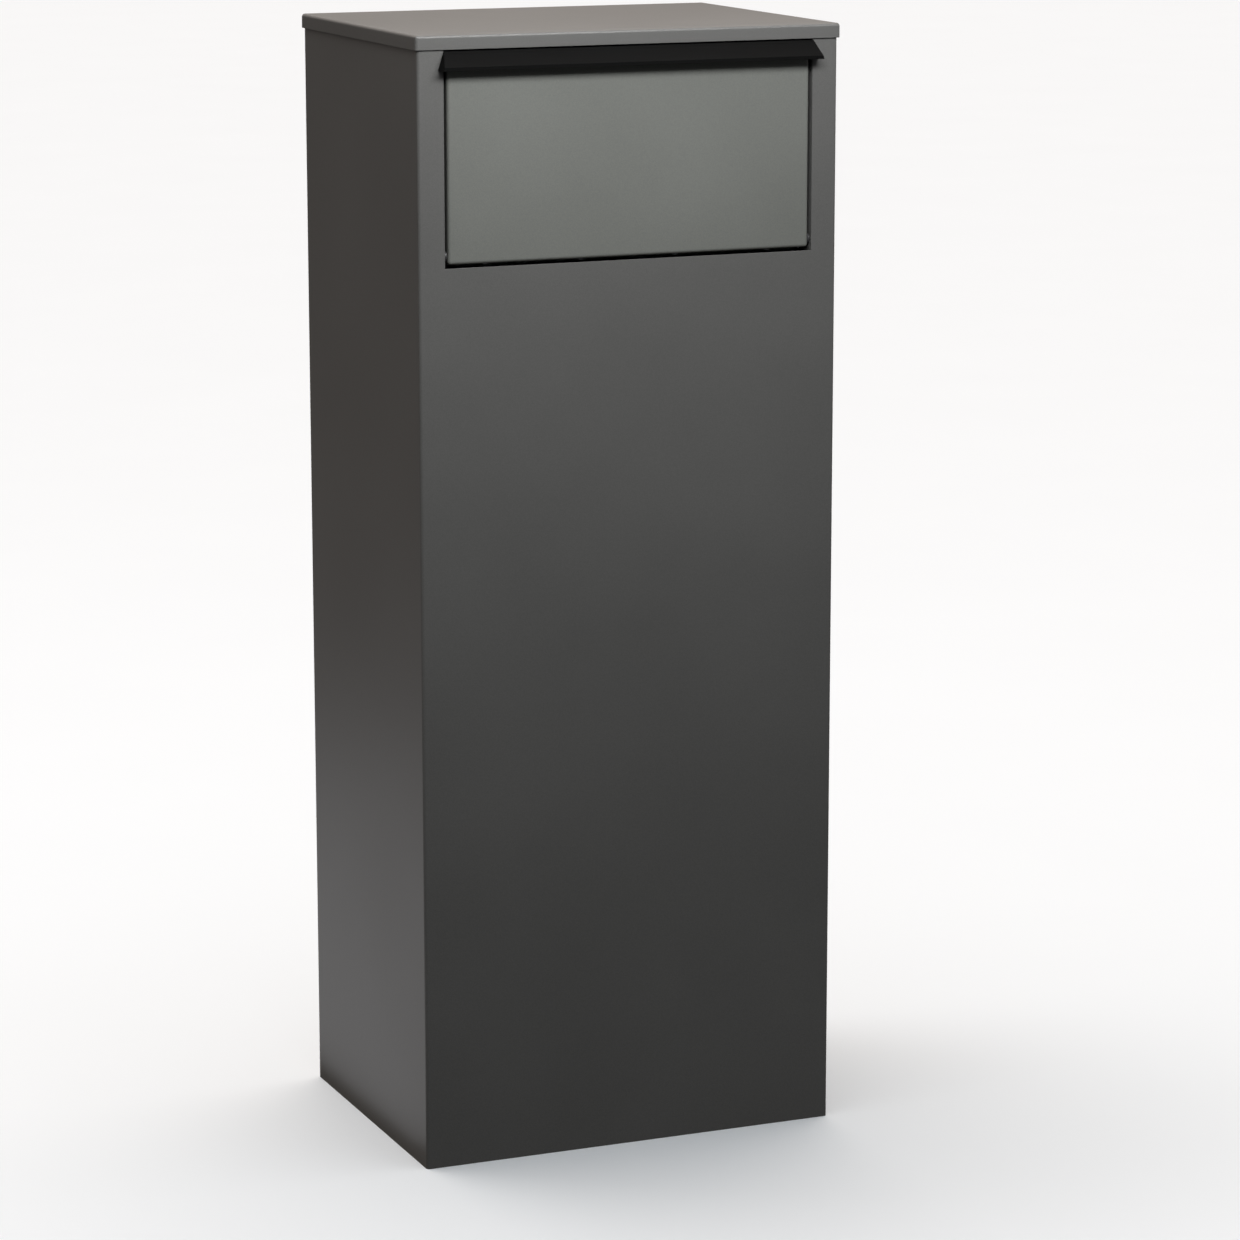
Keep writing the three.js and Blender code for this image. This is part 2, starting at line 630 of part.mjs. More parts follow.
function flap() {
  const pan = foldedPan(2 * flapHalf, flapHigh - flapLow, FLAP_RIM)
    .rotateX(Math.PI / 2)
    .translate(0, flapFace, (flapHigh + flapLow) / 2);
  const overFoot = block([-flapHalf + SHEET, flapHalf - SHEET],
    [footEnd, flapFace + FLAP_RIM + PAST], [flapLow - PAST, flapLow + 2 * SHEET]);
  return cut(
    pan,
    overFoot,
    rod(pivotBore, 'x', [-flapHalf - PAST, flapHalf + PAST]),
    ...gripScrews.map(([, x]) => gripHole([flapFace - PAST, flapFace + SHEET + PAST], x)),
    ...trayRivets.map((x) => trayRivetHole([flapLow - PAST, flapLow + SHEET + PAST], x)),
  );
}

place(hatch, 'hatch_flap', flap(), POWDER_COAT);

// A hooded strip whose underside is hollow for the fingers, with a closed, flared end at each side
function gripStrip() {
  const lipY = gripBack - GRIP_PROJECTION;
  const low = flapHigh - GRIP_HEIGHT;
  const hood = [
    at(gripBack, low),
    at(gripBack, flapHigh),
    at(gripBack - GRIP_TOP_FLAT, flapHigh),
    at(lipY, low + GRIP_LIP),
    at(lipY, low),
  ];
  const hollow = new THREE.Shape([
    at(gripBack - GRIP_WALL, low - PAST),
    at(gripBack - GRIP_WALL, flapHigh - 2.2 * GRIP_WALL),
    at(lipY + GRIP_WALL, low + GRIP_LIP - GRIP_WALL / 2),
    at(lipY + GRIP_WALL, low - PAST),
  ]);
  const front = new THREE.Shape([
    at(-gripHalf, low),
    at(gripHalf, low),
    at(gripTopHalf, flapHigh),
    at(-gripTopHalf, flapHigh),
  ]);
  return cut(
    common(
      alongX(new THREE.Shape(hood), [-gripHalf - PAST, gripHalf + PAST]),
      alongY(front, [lipY - PAST, gripBack + PAST]),
    ),
    alongX(hollow, [-gripTopHalf + GRIP_WALL, gripTopHalf - GRIP_WALL]),
    ...gripScrews.map(([, x]) => gripHole([gripBack - GRIP_WALL - PAST, gripBack + PAST], x)),
  );
}

place(hatch, 'grip_strip', gripStrip(), BLACK_GRIP);

const gripScrewEnd = -SHEET - 2 * SEAT - GRIP_WALL;
const gripScrew = turned([
  [0, gripScrewEnd],
  [GRIP_SCREW / 2, gripScrewEnd],
  [GRIP_SCREW / 2, SEAT],
  [GRIP_SCREW_HEAD / 2, SEAT],
  [0.9 * GRIP_SCREW_HEAD / 2, 0.7 * GRIP_SCREW_HEAD_HEIGHT],
  [GRIP_SCREW / 2, 0.93 * GRIP_SCREW_HEAD_HEIGHT],
  [0, GRIP_SCREW_HEAD_HEIGHT],
]);
for (const [name, x] of gripScrews) {
  place(hatch, `grip_screw_${name}`, gripScrew.clone(), ZINC, [x, flapFace + SHEET, gripScrewZ]);
}

// The tray's upper face: a foot on the flap, then a slope down into the box
const down = at(Math.cos(TRAY_SLOPE), -Math.sin(TRAY_SLOPE));
const up = at(Math.sin(TRAY_SLOPE), Math.cos(TRAY_SLOPE));
const slopeStart = at(footEnd + SHEET, footTop + SHEET); // the bend, just past the flap's lower wall
const onSlope = (along, above) => slopeStart.clone().addScaledVector(down, along).addScaledVector(up, above);

function tray() {
  const sheet = alongX(foldedSheet([
    onSlope(TRAY_LENGTH, -TRAY_LIP),
    onSlope(TRAY_LENGTH, 0),
    slopeStart,
    at(flapFace + SHEET + 2 * BEND, footTop + SHEET),
  ]), [-trayHalf, trayHalf]);
  const wall = new THREE.Shape([
    onSlope(TRAY_SIDE, -SHEET),
    onSlope(TRAY_LENGTH - 2 * SHEET, -SHEET),
    onSlope(TRAY_LENGTH - 2 * SHEET, TRAY_SIDE),
    onSlope(2 * TRAY_SIDE, TRAY_SIDE),
  ]);
  const walls = SIDES.map(([, hand]) =>
    alongX(wall, span(hand * trayHalf, hand * (trayHalf - SHEET))));
  const holes = trayRivets.map((x) => trayRivetHole([footTop - SEAT, footTop + SHEET + PAST], x));
  return cut(join(sheet, ...walls), ...holes);
}

place(hatch, 'chute_tray', tray(), GALVANISED);

// A rivet's domed head, from its flat underside at `height` up, or down where `sense` is -1
const rivetHead = (height, sense) => [
  [RIVET_HEAD / 2, height],
  [0.85 * RIVET_HEAD / 2, height + 0.7 * sense * RIVET_HEAD_HEIGHT],
  [0, height + sense * RIVET_HEAD_HEIGHT],
];
const rivetGrip = 2 * SHEET + 2 * SEAT; // both sheets and the air between them
const trayRivet = turned([
  ...rivetHead(-SEAT, -1).reverse(),
  [RIVET_DIAMETER / 2, -SEAT],
  [RIVET_DIAMETER / 2, rivetGrip],
  ...rivetHead(rivetGrip, 1),
]).rotateX(Math.PI / 2);
trayRivets.forEach((x, i) => {
  place(hatch, `tray_rivet_${i + 1}`, trayRivet.clone(), ZINC, [x, trayRivetY, flapLow]);
});

// Where something stands with the hatch fully open, turned back to where it is with the hatch shut
const shutFromOpen = (y, z) => at(y, z).rotateAround(at(0, 0), -HATCH_TRAVEL);
const stopPlane = front + JAMB_DEPTH - pivotY + BUFFER_AIR + BUFFER_THICKNESS + SEAT;

function cheek() {
  const inside = flapFace + SHEET + BEND; // clear of the flap's inner bends
  const rear = stopPlane + SHEET;
  const edge = shutFromOpen(rear, Math.sqrt(CHEEK_RADIUS ** 2 - rear ** 2));
  const firstAngle = Math.acos(inside / CHEEK_RADIUS);
  const lastAngle = Math.atan2(edge.y, edge.x);
  const outline = [
    at(inside, inside),
    ...arc(at(0, 0), CHEEK_RADIUS, firstAngle, lastAngle, 12),
    shutFromOpen(rear, STOP_START),
    onSlope(CHEEK_REACH, -SHEET),
    onSlope(0, -SHEET),
  ];
  const plate = alongX(new THREE.Shape(outline), [cheekInner, cheekOuter]);
  const tab = new THREE.Shape([
    shutFromOpen(stopPlane, STOP_START),
    shutFromOpen(rear, STOP_START),
    shutFromOpen(rear, STOP_END),
    shutFromOpen(stopPlane, STOP_END),
  ]);
  const folded = alongX(tab, [cheekInner, cheekOuter + STOP_TAB_WIDTH]);
  return cut(join(plate, folded), rod(pivotBore, 'x', [cheekInner - PAST, cheekOuter + PAST]));
}

const bufferMiddle = (STOP_START + STOP_END) / 2;
const bufferX = openingHalf + SHEET / 2;
const buffer = block(
  [-BUFFER_WIDTH / 2, BUFFER_WIDTH / 2],
  [stopPlane - SEAT - BUFFER_THICKNESS, stopPlane - SEAT],
  [bufferMiddle - BUFFER_LENGTH / 2, bufferMiddle + BUFFER_LENGTH / 2],
);
for (const [name, hand] of SIDES) {
  place(hatch, `hatch_cheek_${name}`, hand > 0 ? cheek() : mirrored(cheek()), GALVANISED);
  const pad = place(hatch, `stop_buffer_${name}`, buffer.clone(), RUBBER, [hand * bufferX, 0, 0]);
  pad.rotation.x = -HATCH_TRAVEL;
}

// ---- Rear door, drawn round its hinge axis: panel, stiffeners, bushes and lock ----

const doorEdgeX = -doorHalf - hingeX;
const doorFace = back - hingeY;
const doorLow = doorwayBottom + DOOR_GAP;
const doorHigh = doorwayTop - DOOR_GAP;
const bushOuter = HINGE_PIN / 2 + SEAT + BUSH_WALL;

const doorPan = foldedPan(2 * doorHalf, doorHigh - doorLow, DOOR_RIM)
  .rotateX(-Math.PI / 2)
  .translate(doorEdgeX + doorHalf, doorFace, (doorHigh + doorLow) / 2);
place(rearDoor, 'door_panel', cut(
  doorPan,
  rod(bushOuter + SEAT, 'z', [doorLow - PAST, doorLow + SHEET + PAST]),
  rod(bushOuter + SEAT, 'z', [doorHigh - SHEET - PAST, doorHigh + PAST]),
  rod(LOCK_DIAMETER / 2 + SEAT, 'y', [doorFace - SHEET - PAST, doorFace + PAST],
    [lockX - hingeX, LOCK_HEIGHT]),
), POWDER_COAT);

const stiffenerBase = doorFace - SHEET - SEAT;
for (const [name, hand] of [['lower', -1], ['upper', 1]]) {
  const middle = (doorHigh + doorLow) / 2 + (hand * STIFFENER_SPREAD) / 2;
  const crown = stiffenerBase - STIFFENER_DEPTH;
  const hat = foldedSheet([
    at(stiffenerBase, middle - STIFFENER_WIDTH / 2),
    at(stiffenerBase, middle - STIFFENER_WIDTH / 4),
    at(crown, middle - STIFFENER_WIDTH / 4),
    at(crown, middle + STIFFENER_WIDTH / 4),
    at(stiffenerBase, middle + STIFFENER_WIDTH / 4),
    at(stiffenerBase, middle + STIFFENER_WIDTH / 2),
  ]);
  place(rearDoor, `door_stiffener_${name}`, alongX(hat,
    [doorEdgeX + STIFFENER_END, doorEdgeX + 2 * doorHalf - STIFFENER_END]), GALVANISED);
}

// Hinge pins stand in the rails, and the door turns on them in nylon bushes
const pinLength = DOOR_GAP + SHEET + HINGE_PIN_REACH;
const hingePin = turned([
  [0, 0],
  [HINGE_PIN / 2, 0],
  [HINGE_PIN / 2, pinLength],
  [HINGE_PIN_HEAD / 2, pinLength],
  [HINGE_PIN_HEAD / 2, pinLength + HINGE_PIN_HEAD_THICKNESS],
  [0, pinLength + HINGE_PIN_HEAD_THICKNESS],
]).rotateX(Math.PI / 2);
const bush = turned([
  [HINGE_PIN / 2 + SEAT, -SHEET - BUSH_REACH],
  [bushOuter, -SHEET - BUSH_REACH],
  [bushOuter, SEAT],
  [BUSH_HEAD / 2, SEAT],
  [BUSH_HEAD / 2, DOOR_GAP - SEAT],
  [HINGE_PIN / 2 + SEAT, DOOR_GAP - SEAT],
  [HINGE_PIN / 2 + SEAT, -SHEET - BUSH_REACH],
]).rotateX(Math.PI / 2);
place(dropBox, 'door_pin_top', hingePin.clone(), ZINC,
  [hingeX, hingeY, doorwayTop + SHEET + SEAT - pinLength]);
place(dropBox, 'door_pin_bottom', hingePin.clone(), ZINC,
  [hingeX, hingeY, doorwayBottom - SHEET - SEAT + pinLength]).rotation.x = Math.PI;
place(rearDoor, 'door_bush_top', bush.clone(), NYLON, [0, 0, doorHigh]);
place(rearDoor, 'door_bush_bottom', bush.clone(), NYLON, [0, 0, doorLow]).rotation.x = Math.PI;

// ---- Cam lock: housing and nut on the door, a core that turns, and a strike on the return ----

const coreBore = PLUG_DIAMETER / 2 + SEAT;
const lockInner = -LOCK_BEHIND_FACE; // inner end of the housing, from the door's face
const lockHousing = turned([
  [coreBore, lockInner],
  [LOCK_DIAMETER / 2, lockInner],
  [LOCK_DIAMETER / 2, SEAT],
  [LOCK_FLANGE / 2, SEAT],
  [LOCK_FLANGE / 2, SEAT + LOCK_FLANGE_THICKNESS / 2],
  [LOCK_FLANGE / 2 - LOCK_FLANGE_THICKNESS / 2, SEAT + LOCK_FLANGE_THICKNESS],
  [coreBore, SEAT + LOCK_FLANGE_THICKNESS],
  [coreBore, lockInner],
]);
const lockPlace = lockCore.position.toArray();
place(rearDoor, 'lock_housing', lockHousing, BRIGHT_CHROME, lockPlace);
const lockNutTop = -SHEET - SEAT;
place(rearDoor, 'lock_nut', alongY(hexagon(LOCK_NUT, LOCK_DIAMETER / 2 + SEAT),
  [lockNutTop - LOCK_NUT_THICKNESS, lockNutTop]), ZINC, lockPlace);

const plugFace = SEAT + LOCK_FLANGE_THICKNESS - PLUG_RECESS;
const camTop = lockInner - SEAT;
const camBottom = camTop - CAM_THICKNESS;
const middled = (width) => [-width / 2, width / 2];
const tang = block(middled(TANG), [camBottom, lockInner + PAST], middled(TANG));
const keyway = block(middled(KEYWAY_WIDTH), [plugFace - KEYWAY_DEPTH, plugFace + PAST], middled(KEYWAY_HEIGHT));
const camScrewEnd = lockInner + CAM_SCREW_REACH;
place(lockCore, 'lock_plug', cut(
  join(rod(PLUG_DIAMETER / 2, 'y', [lockInner, plugFace]), tang),
  keyway,
  rod(CAM_SCREW / 2 + SEAT, 'y', [camBottom - PAST, camScrewEnd + PAST]),
), BRIGHT_CHROME);

const camOutline = new THREE.Shape([
  ...arc(at(0, 0), CAM_EYE / 2, -Math.PI / 4, (5 * Math.PI) / 4, ROUND_STEPS / 2),
  at(-CAM_WIDTH / 2, -CAM_LENGTH),
  at(CAM_WIDTH / 2, -CAM_LENGTH),
]);
const tangHole = TANG / 2 + SEAT;
camOutline.holes.push(new THREE.Path([
  at(-tangHole, -tangHole), at(-tangHole, tangHole), at(tangHole, tangHole), at(tangHole, -tangHole),
]));
place(lockCore, 'lock_cam', alongY(camOutline, [camBottom, camTop]), ZINC);
const camScrewSeat = camBottom - SEAT;
place(lockCore, 'cam_screw', turned([
  [0, camScrewSeat - CAM_SCREW_HEAD_HEIGHT],
  [0.9 * CAM_SCREW_HEAD / 2, camScrewSeat - CAM_SCREW_HEAD_HEIGHT],
  [CAM_SCREW_HEAD / 2, camScrewSeat],
  [CAM_SCREW / 2, camScrewSeat],
  [CAM_SCREW / 2, camScrewEnd],
  [0, camScrewEnd],
]), ZINC);

const strikeX = doorway + SHEET + SEAT;
const strikeY = back + lockInner;
const strikeZ = [LOCK_HEIGHT - STRIKE_HEIGHT / 2, LOCK_HEIGHT + STRIKE_HEIGHT / 2];
const strikeRivets = [-1, 1].map((hand) => LOCK_HEIGHT + (hand * STRIKE_HEIGHT) / 3);
const rivetY = back - RETURN_FOLD / 2;
const rivetHole = (z) => rod(RIVET_HOLE / 2, 'x', [strikeX - SEAT, strikeX + SHEET + PAST], [rivetY, z]);
const strike = alongZ(foldedSheet([
  at(strikeX + STRIKE_WIDTH, strikeY),
  at(strikeX, strikeY),
  at(strikeX, back - 2 * SHEET),
].reverse()), strikeZ);
place(dropBox, 'lock_strike', cut(strike, ...strikeRivets.map(rivetHole)), ZINC);
const strikeRivet = turned([
  [0, strikeX - SEAT],
  [RIVET_DIAMETER / 2, strikeX - SEAT],
  [RIVET_DIAMETER / 2, strikeX + SHEET + SEAT],
  ...rivetHead(strikeX + SHEET + SEAT, 1),
]).rotateZ(-Math.PI / 2);
strikeRivets.forEach((z, i) => {
  place(dropBox, `strike_rivet_${i + 1}`, strikeRivet.clone(), ZINC, [0, rivetY, z]);
});

export default dropBox;
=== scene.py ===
import json
import math

import bmesh
import bpy
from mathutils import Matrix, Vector

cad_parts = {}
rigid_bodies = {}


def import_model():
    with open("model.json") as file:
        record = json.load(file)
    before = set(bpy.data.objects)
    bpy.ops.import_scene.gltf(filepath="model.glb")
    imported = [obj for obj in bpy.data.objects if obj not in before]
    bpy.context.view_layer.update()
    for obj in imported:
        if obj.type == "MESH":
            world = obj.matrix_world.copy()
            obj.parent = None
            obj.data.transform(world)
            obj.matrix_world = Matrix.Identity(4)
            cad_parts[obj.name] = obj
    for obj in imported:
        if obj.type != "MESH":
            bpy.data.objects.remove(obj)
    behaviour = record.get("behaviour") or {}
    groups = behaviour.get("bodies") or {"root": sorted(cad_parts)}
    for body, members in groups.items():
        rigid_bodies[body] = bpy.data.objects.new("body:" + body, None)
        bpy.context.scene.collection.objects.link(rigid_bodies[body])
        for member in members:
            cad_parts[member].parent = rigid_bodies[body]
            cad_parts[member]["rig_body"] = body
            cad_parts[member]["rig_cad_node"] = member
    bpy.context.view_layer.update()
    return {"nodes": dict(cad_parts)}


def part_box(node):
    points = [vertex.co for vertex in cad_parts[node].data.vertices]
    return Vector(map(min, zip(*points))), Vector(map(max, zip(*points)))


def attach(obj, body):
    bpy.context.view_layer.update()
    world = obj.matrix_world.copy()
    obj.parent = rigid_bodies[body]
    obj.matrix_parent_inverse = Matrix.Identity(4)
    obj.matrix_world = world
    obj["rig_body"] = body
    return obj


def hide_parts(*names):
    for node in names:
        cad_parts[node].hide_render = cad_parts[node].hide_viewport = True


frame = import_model()

# ---- Body shell ----
# One blank of 1.5 mm steel sheet wraps round the front and both sides and returns at the back.
# The hatch opening is punched in its front, and the whole is powder coated.

sheet = 0.0015
outer_bend = 0.003
hatch_gap = 0.003
door_gap = 0.0025
return_fold = 0.018
raw_edge = 0.0003  # radius left on the edges of cut sheet
touch = 1e-5  # places closer than this count as the same
weld = 1e-6  # corners closer than this are merged
past = 0.002  # a cutting tool runs this far past the face it cuts

shell_low, shell_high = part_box("body_shell")
flap_low, flap_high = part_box("hatch_flap")
door_low, door_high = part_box("door_panel")
opening_half = flap_high.x + hatch_gap
opening_sill = flap_low.z - hatch_gap
opening_top = flap_high.z + hatch_gap
doorway_half = door_high.x + door_gap


def only(piece=None):
    """Selects one object, or nothing."""
    bpy.ops.object.select_all(action="DESELECT")
    if piece:
        piece.select_set(True)
        bpy.context.view_layer.objects.active = piece


def block(name, low, high):
    """A cube added at its size and place."""
    only()
    low, high = Vector(low), Vector(high)
    bpy.ops.mesh.primitive_cube_add(size=1, location=(low + high) / 2, scale=high - low)
    bpy.ops.object.transform_apply()
    piece = bpy.context.object
    piece.name = piece.data.name = name
    return piece


def edit(piece):
    """Opens a piece for editing."""
    only(piece)
    bpy.ops.object.mode_set(mode="EDIT")


def done():
    """Ends the editing."""
    bpy.ops.object.mode_set(mode="OBJECT")


def near(a, b):
    """True for two places that are the same to a hundredth of a millimetre."""
    return abs(a - b) < touch


def everything():
    """In edit mode, selects the whole mesh."""
    bpy.ops.mesh.select_all(action="SELECT")


def choose(kind, wanted):
    """In edit mode, selects only the edges or faces that are wanted for their corners' places."""
    bpy.ops.mesh.select_mode(type=kind)
    bpy.ops.mesh.select_all(action="DESELECT")
    mesh = bmesh.from_edit_mesh(bpy.context.object.data)
    for thing in {"EDGE": mesh.edges, "FACE": mesh.faces}[kind]:
        if wanted([corner.co for corner in thing.verts]):
            thing.select_set(True)
    bmesh.update_edit_mesh(bpy.context.object.data)


def pick(kind, test):
    """In edit mode, selects only the edges or faces whose corners all pass a test."""
    choose(kind, lambda places: all(test(place) for place in places))


def remove(kind, test):
    """In edit mode, deletes the edges or faces whose corners all pass a test."""
    pick(kind, test)
    bpy.ops.mesh.delete(type=kind)


def score(test, place, normal):
    """In edit mode, divides the faces that pass a test along a plane."""
    pick("FACE", test)
    bpy.ops.mesh.bisect(plane_co=place, plane_no=normal)


def slide(step):
    """Extrudes what is selected by one step."""
    bpy.ops.mesh.extrude_region_move(TRANSFORM_OT_translate={"value": step})


def round_edges(radius, steps=6):
    """Rounds what is selected."""
    bpy.ops.mesh.bevel(offset=radius, offset_type="OFFSET", segments=steps, affect="EDGES")


def round_but(rim, radius):
    """In edit mode, rounds every edge but those of the open rim."""
    choose("EDGE", lambda places: not all(rim(place) for place in places))
    round_edges(radius)


def thicken(piece):
    """Gives a folded surface the sheet's thickness, inwards."""
    shape(piece, "SOLIDIFY", thickness=sheet, offset=-1, use_even_offset=True)


def shape(piece, kind, **settings):
    """Adds a modifier and applies it."""
    modifier = piece.modifiers.new(kind, kind)
    for name, value in settings.items():
        setattr(modifier, name, value)
    only(piece)
    bpy.ops.object.modifier_apply(modifier=modifier.name)


def cut(piece, *tools):
    """Cuts the tools' shapes out of a piece, and clears the tools away."""
    for tool in tools:
        shape(piece, "BOOLEAN", operation="DIFFERENCE", solver="EXACT", object=tool)
        bpy.data.objects.remove(tool)


def deburr(piece, width=raw_edge, steps=2):
    """Rounds the raw edges of cut sheet, and leaves the folds as they are."""
    shape(piece, "BEVEL", width=width, segments=steps, limit_method="ANGLE",
          angle_limit=math.radians(50), miter_outer="MITER_ARC")


def rod(name, radius, start, end, sides=48):
    """A cylinder added from one point to another."""
    only()
    start, end = Vector(start), Vector(end)
    turn = (end - start).to_track_quat("Z", "Y").to_euler()
    bpy.ops.mesh.primitive_cylinder_add(vertices=sides, radius=radius, depth=(end - start).length,
                                        location=(start + end) / 2, rotation=turn)
    bpy.ops.object.transform_apply()
    piece = bpy.context.object
    piece.name = piece.data.name = name
    return piece


def linear(code):
    """An sRGB hex colour as linear red, green, blue and alpha."""
    channels = [int(code[i:i + 2], 16) / 255 for i in (0, 2, 4)]
    return [c / 12.92 if c <= 0.04045 else ((c + 0.055) / 1.055) ** 2.4 for c in channels] + [1]


def add(tree, kind, inputs, **settings):
    """Adds a node. An input that is another node's socket is linked, and any other is a value."""
    node = tree.nodes.new(kind)
    for name, value in settings.items():
        setattr(node, name, value)
    for name, value in inputs.items():
        if isinstance(value, bpy.types.NodeSocket):
            tree.links.new(value, node.inputs[name])
        else:
            node.inputs[name].default_value = value
    return node


def mixed(tree, factor, dark, light):
    """A colour that runs from one sRGB hex colour to another."""
    return add(tree, "ShaderNodeMix", {"Factor": factor, 6: linear(dark), 7: linear(light)},
               data_type="RGBA").outputs[2]


def ranged(tree, value, low, high, **window):
    """A value brought from its window, or from 0 to 1, to a range of its own."""
    return add(tree, "ShaderNodeMapRange", {
        "Value": value, **window, "To Min": low, "To Max": high}).outputs["Result"]


def noise(tree, place, size, detail):
    """Noise whose patches are about this wide, in metres."""
    return add(tree, "ShaderNodeTexNoise", {
        "Vector": place, "Scale": 1 / size, "Detail": detail}).outputs["Fac"]


def relief(tree, shader, height, strength, depth):
    """Raises the surface by a height, up to this depth."""
    bump = add(tree, "ShaderNodeBump", {"Height": height, "Strength": strength, "Distance": depth})
    tree.links.new(bump.outputs["Normal"], shader["Normal"])


def new_material(name):
    """An empty material: itself, its node tree, its shader's inputs, and the place on the piece."""
    material = bpy.data.materials.new(name)
    material.use_nodes = True
    tree = material.node_tree
    shader = tree.nodes["Principled BSDF"]
    return material, tree, shader.inputs, add(tree, "ShaderNodeTexCoord", {}).outputs["Object"]


def powder_coated(name, dark, light):
    """Fine-textured polyester powder coat in metallic anthracite, baked on steel. Aluminium
    flake gives it a soft silky sheen, and the melted powder leaves a fine orange peel."""
    material, tree, shader, place = new_material(name)
    peel = 0.0016  # from crest to crest
    flake = 0.0009  # far finer on the real coat, and drawn as coarse as it needs to show
    cloud = 0.18  # slow drift in film thickness
    middle_band = {"From Min": 0.3, "From Max": 0.7}  # where nearly all of the noise lies
    drift = noise(tree, place, cloud, 3)
    glints = noise(tree, place, flake, 1)
    crests = noise(tree, place, peel, 2)
    shaded = add(tree, "ShaderNodeVectorMath", {
        0: mixed(tree, glints, dark, light),
        "Scale": ranged(tree, drift, 0.95, 1.04, **middle_band)}, operation="SCALE")
    tree.links.new(shaded.outputs["Vector"], shader["Base Color"])
    tree.links.new(ranged(tree, drift, 0.43, 0.47, **middle_band), shader["Roughness"])
    relief(tree, shader, crests, 0.25, 0.00004)
    shader["Metallic"].default_value = 0.5
    return material


powder_coat = powder_coated("powder_coat_metallic_anthracite", "525251", "616160")
sheet_work = 35  # degrees, the sharpest corner that still shades as a curve
small_work = 25  # the same on small turned and moulded pieces


def fit(piece, node, body, material, smooth=sheet_work):
    """Gives a finished piece its material and shading, and puts it in its CAD node's place."""
    piece.data.materials.clear()
    piece.data.materials.append(material)
    only(piece)
    bpy.ops.object.shade_smooth_by_angle(angle=math.radians(smooth))
    shape(piece, "WEIGHTED_NORMAL", weight=100, keep_sharp=True)  # flat faces shade flat
    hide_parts(node)
    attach(piece, body)


shell = block("body_shell_folded", shell_low, shell_high)


def in_front(p):
    """True on the shell's front."""
    return near(p.y, shell_low.y)


def in_back(p):
    """True on the shell's back."""
    return near(p.y, shell_high.y)


def in_opening(p):
    """True on the part of the front that the hatch's opening takes."""
    return (in_front(p) and abs(p.x) < opening_half + touch
            and opening_sill - touch < p.z < opening_top + touch)


edit(shell)
for z in (shell_high.z, shell_low.z):
    remove("FACE", lambda p: near(p.z, z))
for x in (-opening_half, opening_half):
    score(in_front, (x, 0, 0), (1, 0, 0))
for z in (opening_sill, opening_top):
    score(in_front, (0, 0, z), (0, 0, 1))
for x in (-doorway_half, doorway_half):
    score(in_back, (x, 0, 0), (1, 0, 0))
remove("FACE", in_opening)
remove("FACE", lambda p: abs(p.x) < doorway_half + touch and in_back(p))
for hand in (-1, 1):
    pick("EDGE", lambda p: near(p.x, hand * doorway_half) and in_back(p))
    slide((0, -return_fold, 0))
pick("EDGE", lambda p: near(abs(p.x), shell_high.x) or (
    near(abs(p.x), doorway_half) and in_back(p)))
round_edges(outer_bend)
done()
thicken(shell)
deburr(shell)
fit(shell, "body_shell", "cabinet", powder_coat)

# ---- Cap ----
# A shallow pan of the same sheet, with welded and ground corners. It laps over the shell, and
# four studs welded under it go through the rails, each with a nut.

cap_low, cap_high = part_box("top_cap")
skirt = 0.013
cap_bottom = cap_high.z - skirt
stud_radius = 0.0025
stud_length = 0.0095  # below the cap's sheet
thread = 0.0008  # pitch
thread_depth = 0.0003
plain_end = 4 * thread  # the stud has no thread this close to the cap
clearance = 0.0003  # of a hole round what goes through it
corners = ("front_left", "front_right", "rear_left", "rear_right")


def merge_doubles(distance=weld):
    """In edit mode, merges the corners that lie on each other."""
    everything()
    bpy.ops.mesh.remove_doubles(threshold=distance)


def section(name, points):
    """A section traced point by point from one vertex. One that ends where it began is filled."""
    only()
    points = [Vector(point) for point in points]
    bpy.ops.mesh.primitive_plane_add(size=0.001, location=points[0])
    piece = bpy.context.object
    piece.name = piece.data.name = name
    bpy.ops.object.transform_apply()
    edit(piece)
    bpy.ops.mesh.select_mode(type="VERT")
    everything()
    bpy.ops.mesh.merge(type="CENTER")
    for start, end in zip(points, points[1:]):
        slide(end - start)
    if (points[0] - points[-1]).length < weld:
        merge_doubles()
        everything()
        bpy.ops.mesh.edge_face_add()
    done()
    return piece


def tidy_normals(piece):
    """Merges a piece's doubled corners and turns its faces outward."""
    edit(piece)
    merge_doubles()
    bpy.ops.mesh.normals_make_consistent(inside=False)
    done()


def turned(name, profile, origin, axis, sides=48):
    """A turned piece. Its profile's pairs are a radius and a distance along the axis."""
    axis = Vector(axis)
    out = Vector((0, 1, 0)) if abs(axis.x) > 0.5 else Vector((1, 0, 0))
    origin = Vector(origin)
    points = [origin + radius * out + along * axis for radius, along in profile]
    piece = section(name, points + points[:1])
    edit(piece)
    bpy.ops.mesh.delete(type="ONLY_FACE")
    everything()
    bpy.ops.mesh.spin(steps=sides, angle=math.tau, center=origin, axis=axis)
    done()
    tidy_normals(piece)
    edit(piece)
    remove("EDGE", lambda p: ((p - origin) - (p - origin).dot(axis) * axis).length < weld)
    done()
    return piece


def join(piece, other):
    """Joins another piece into the first."""
    only(piece)
    other.select_set(True)
    bpy.ops.object.join()


def copied(piece, name, step):
    """A copy with its own mesh, one step away."""
    only(piece)
    bpy.ops.object.duplicate()
    copy = bpy.context.object
    copy.name = copy.data.name = name
    bpy.ops.transform.translate(value=step)
    bpy.ops.object.transform_apply(rotation=False, scale=False)
    return copy


def middle(node):
    """The middle of a CAD node's box."""
    low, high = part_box(node)
    return (low + high) / 2


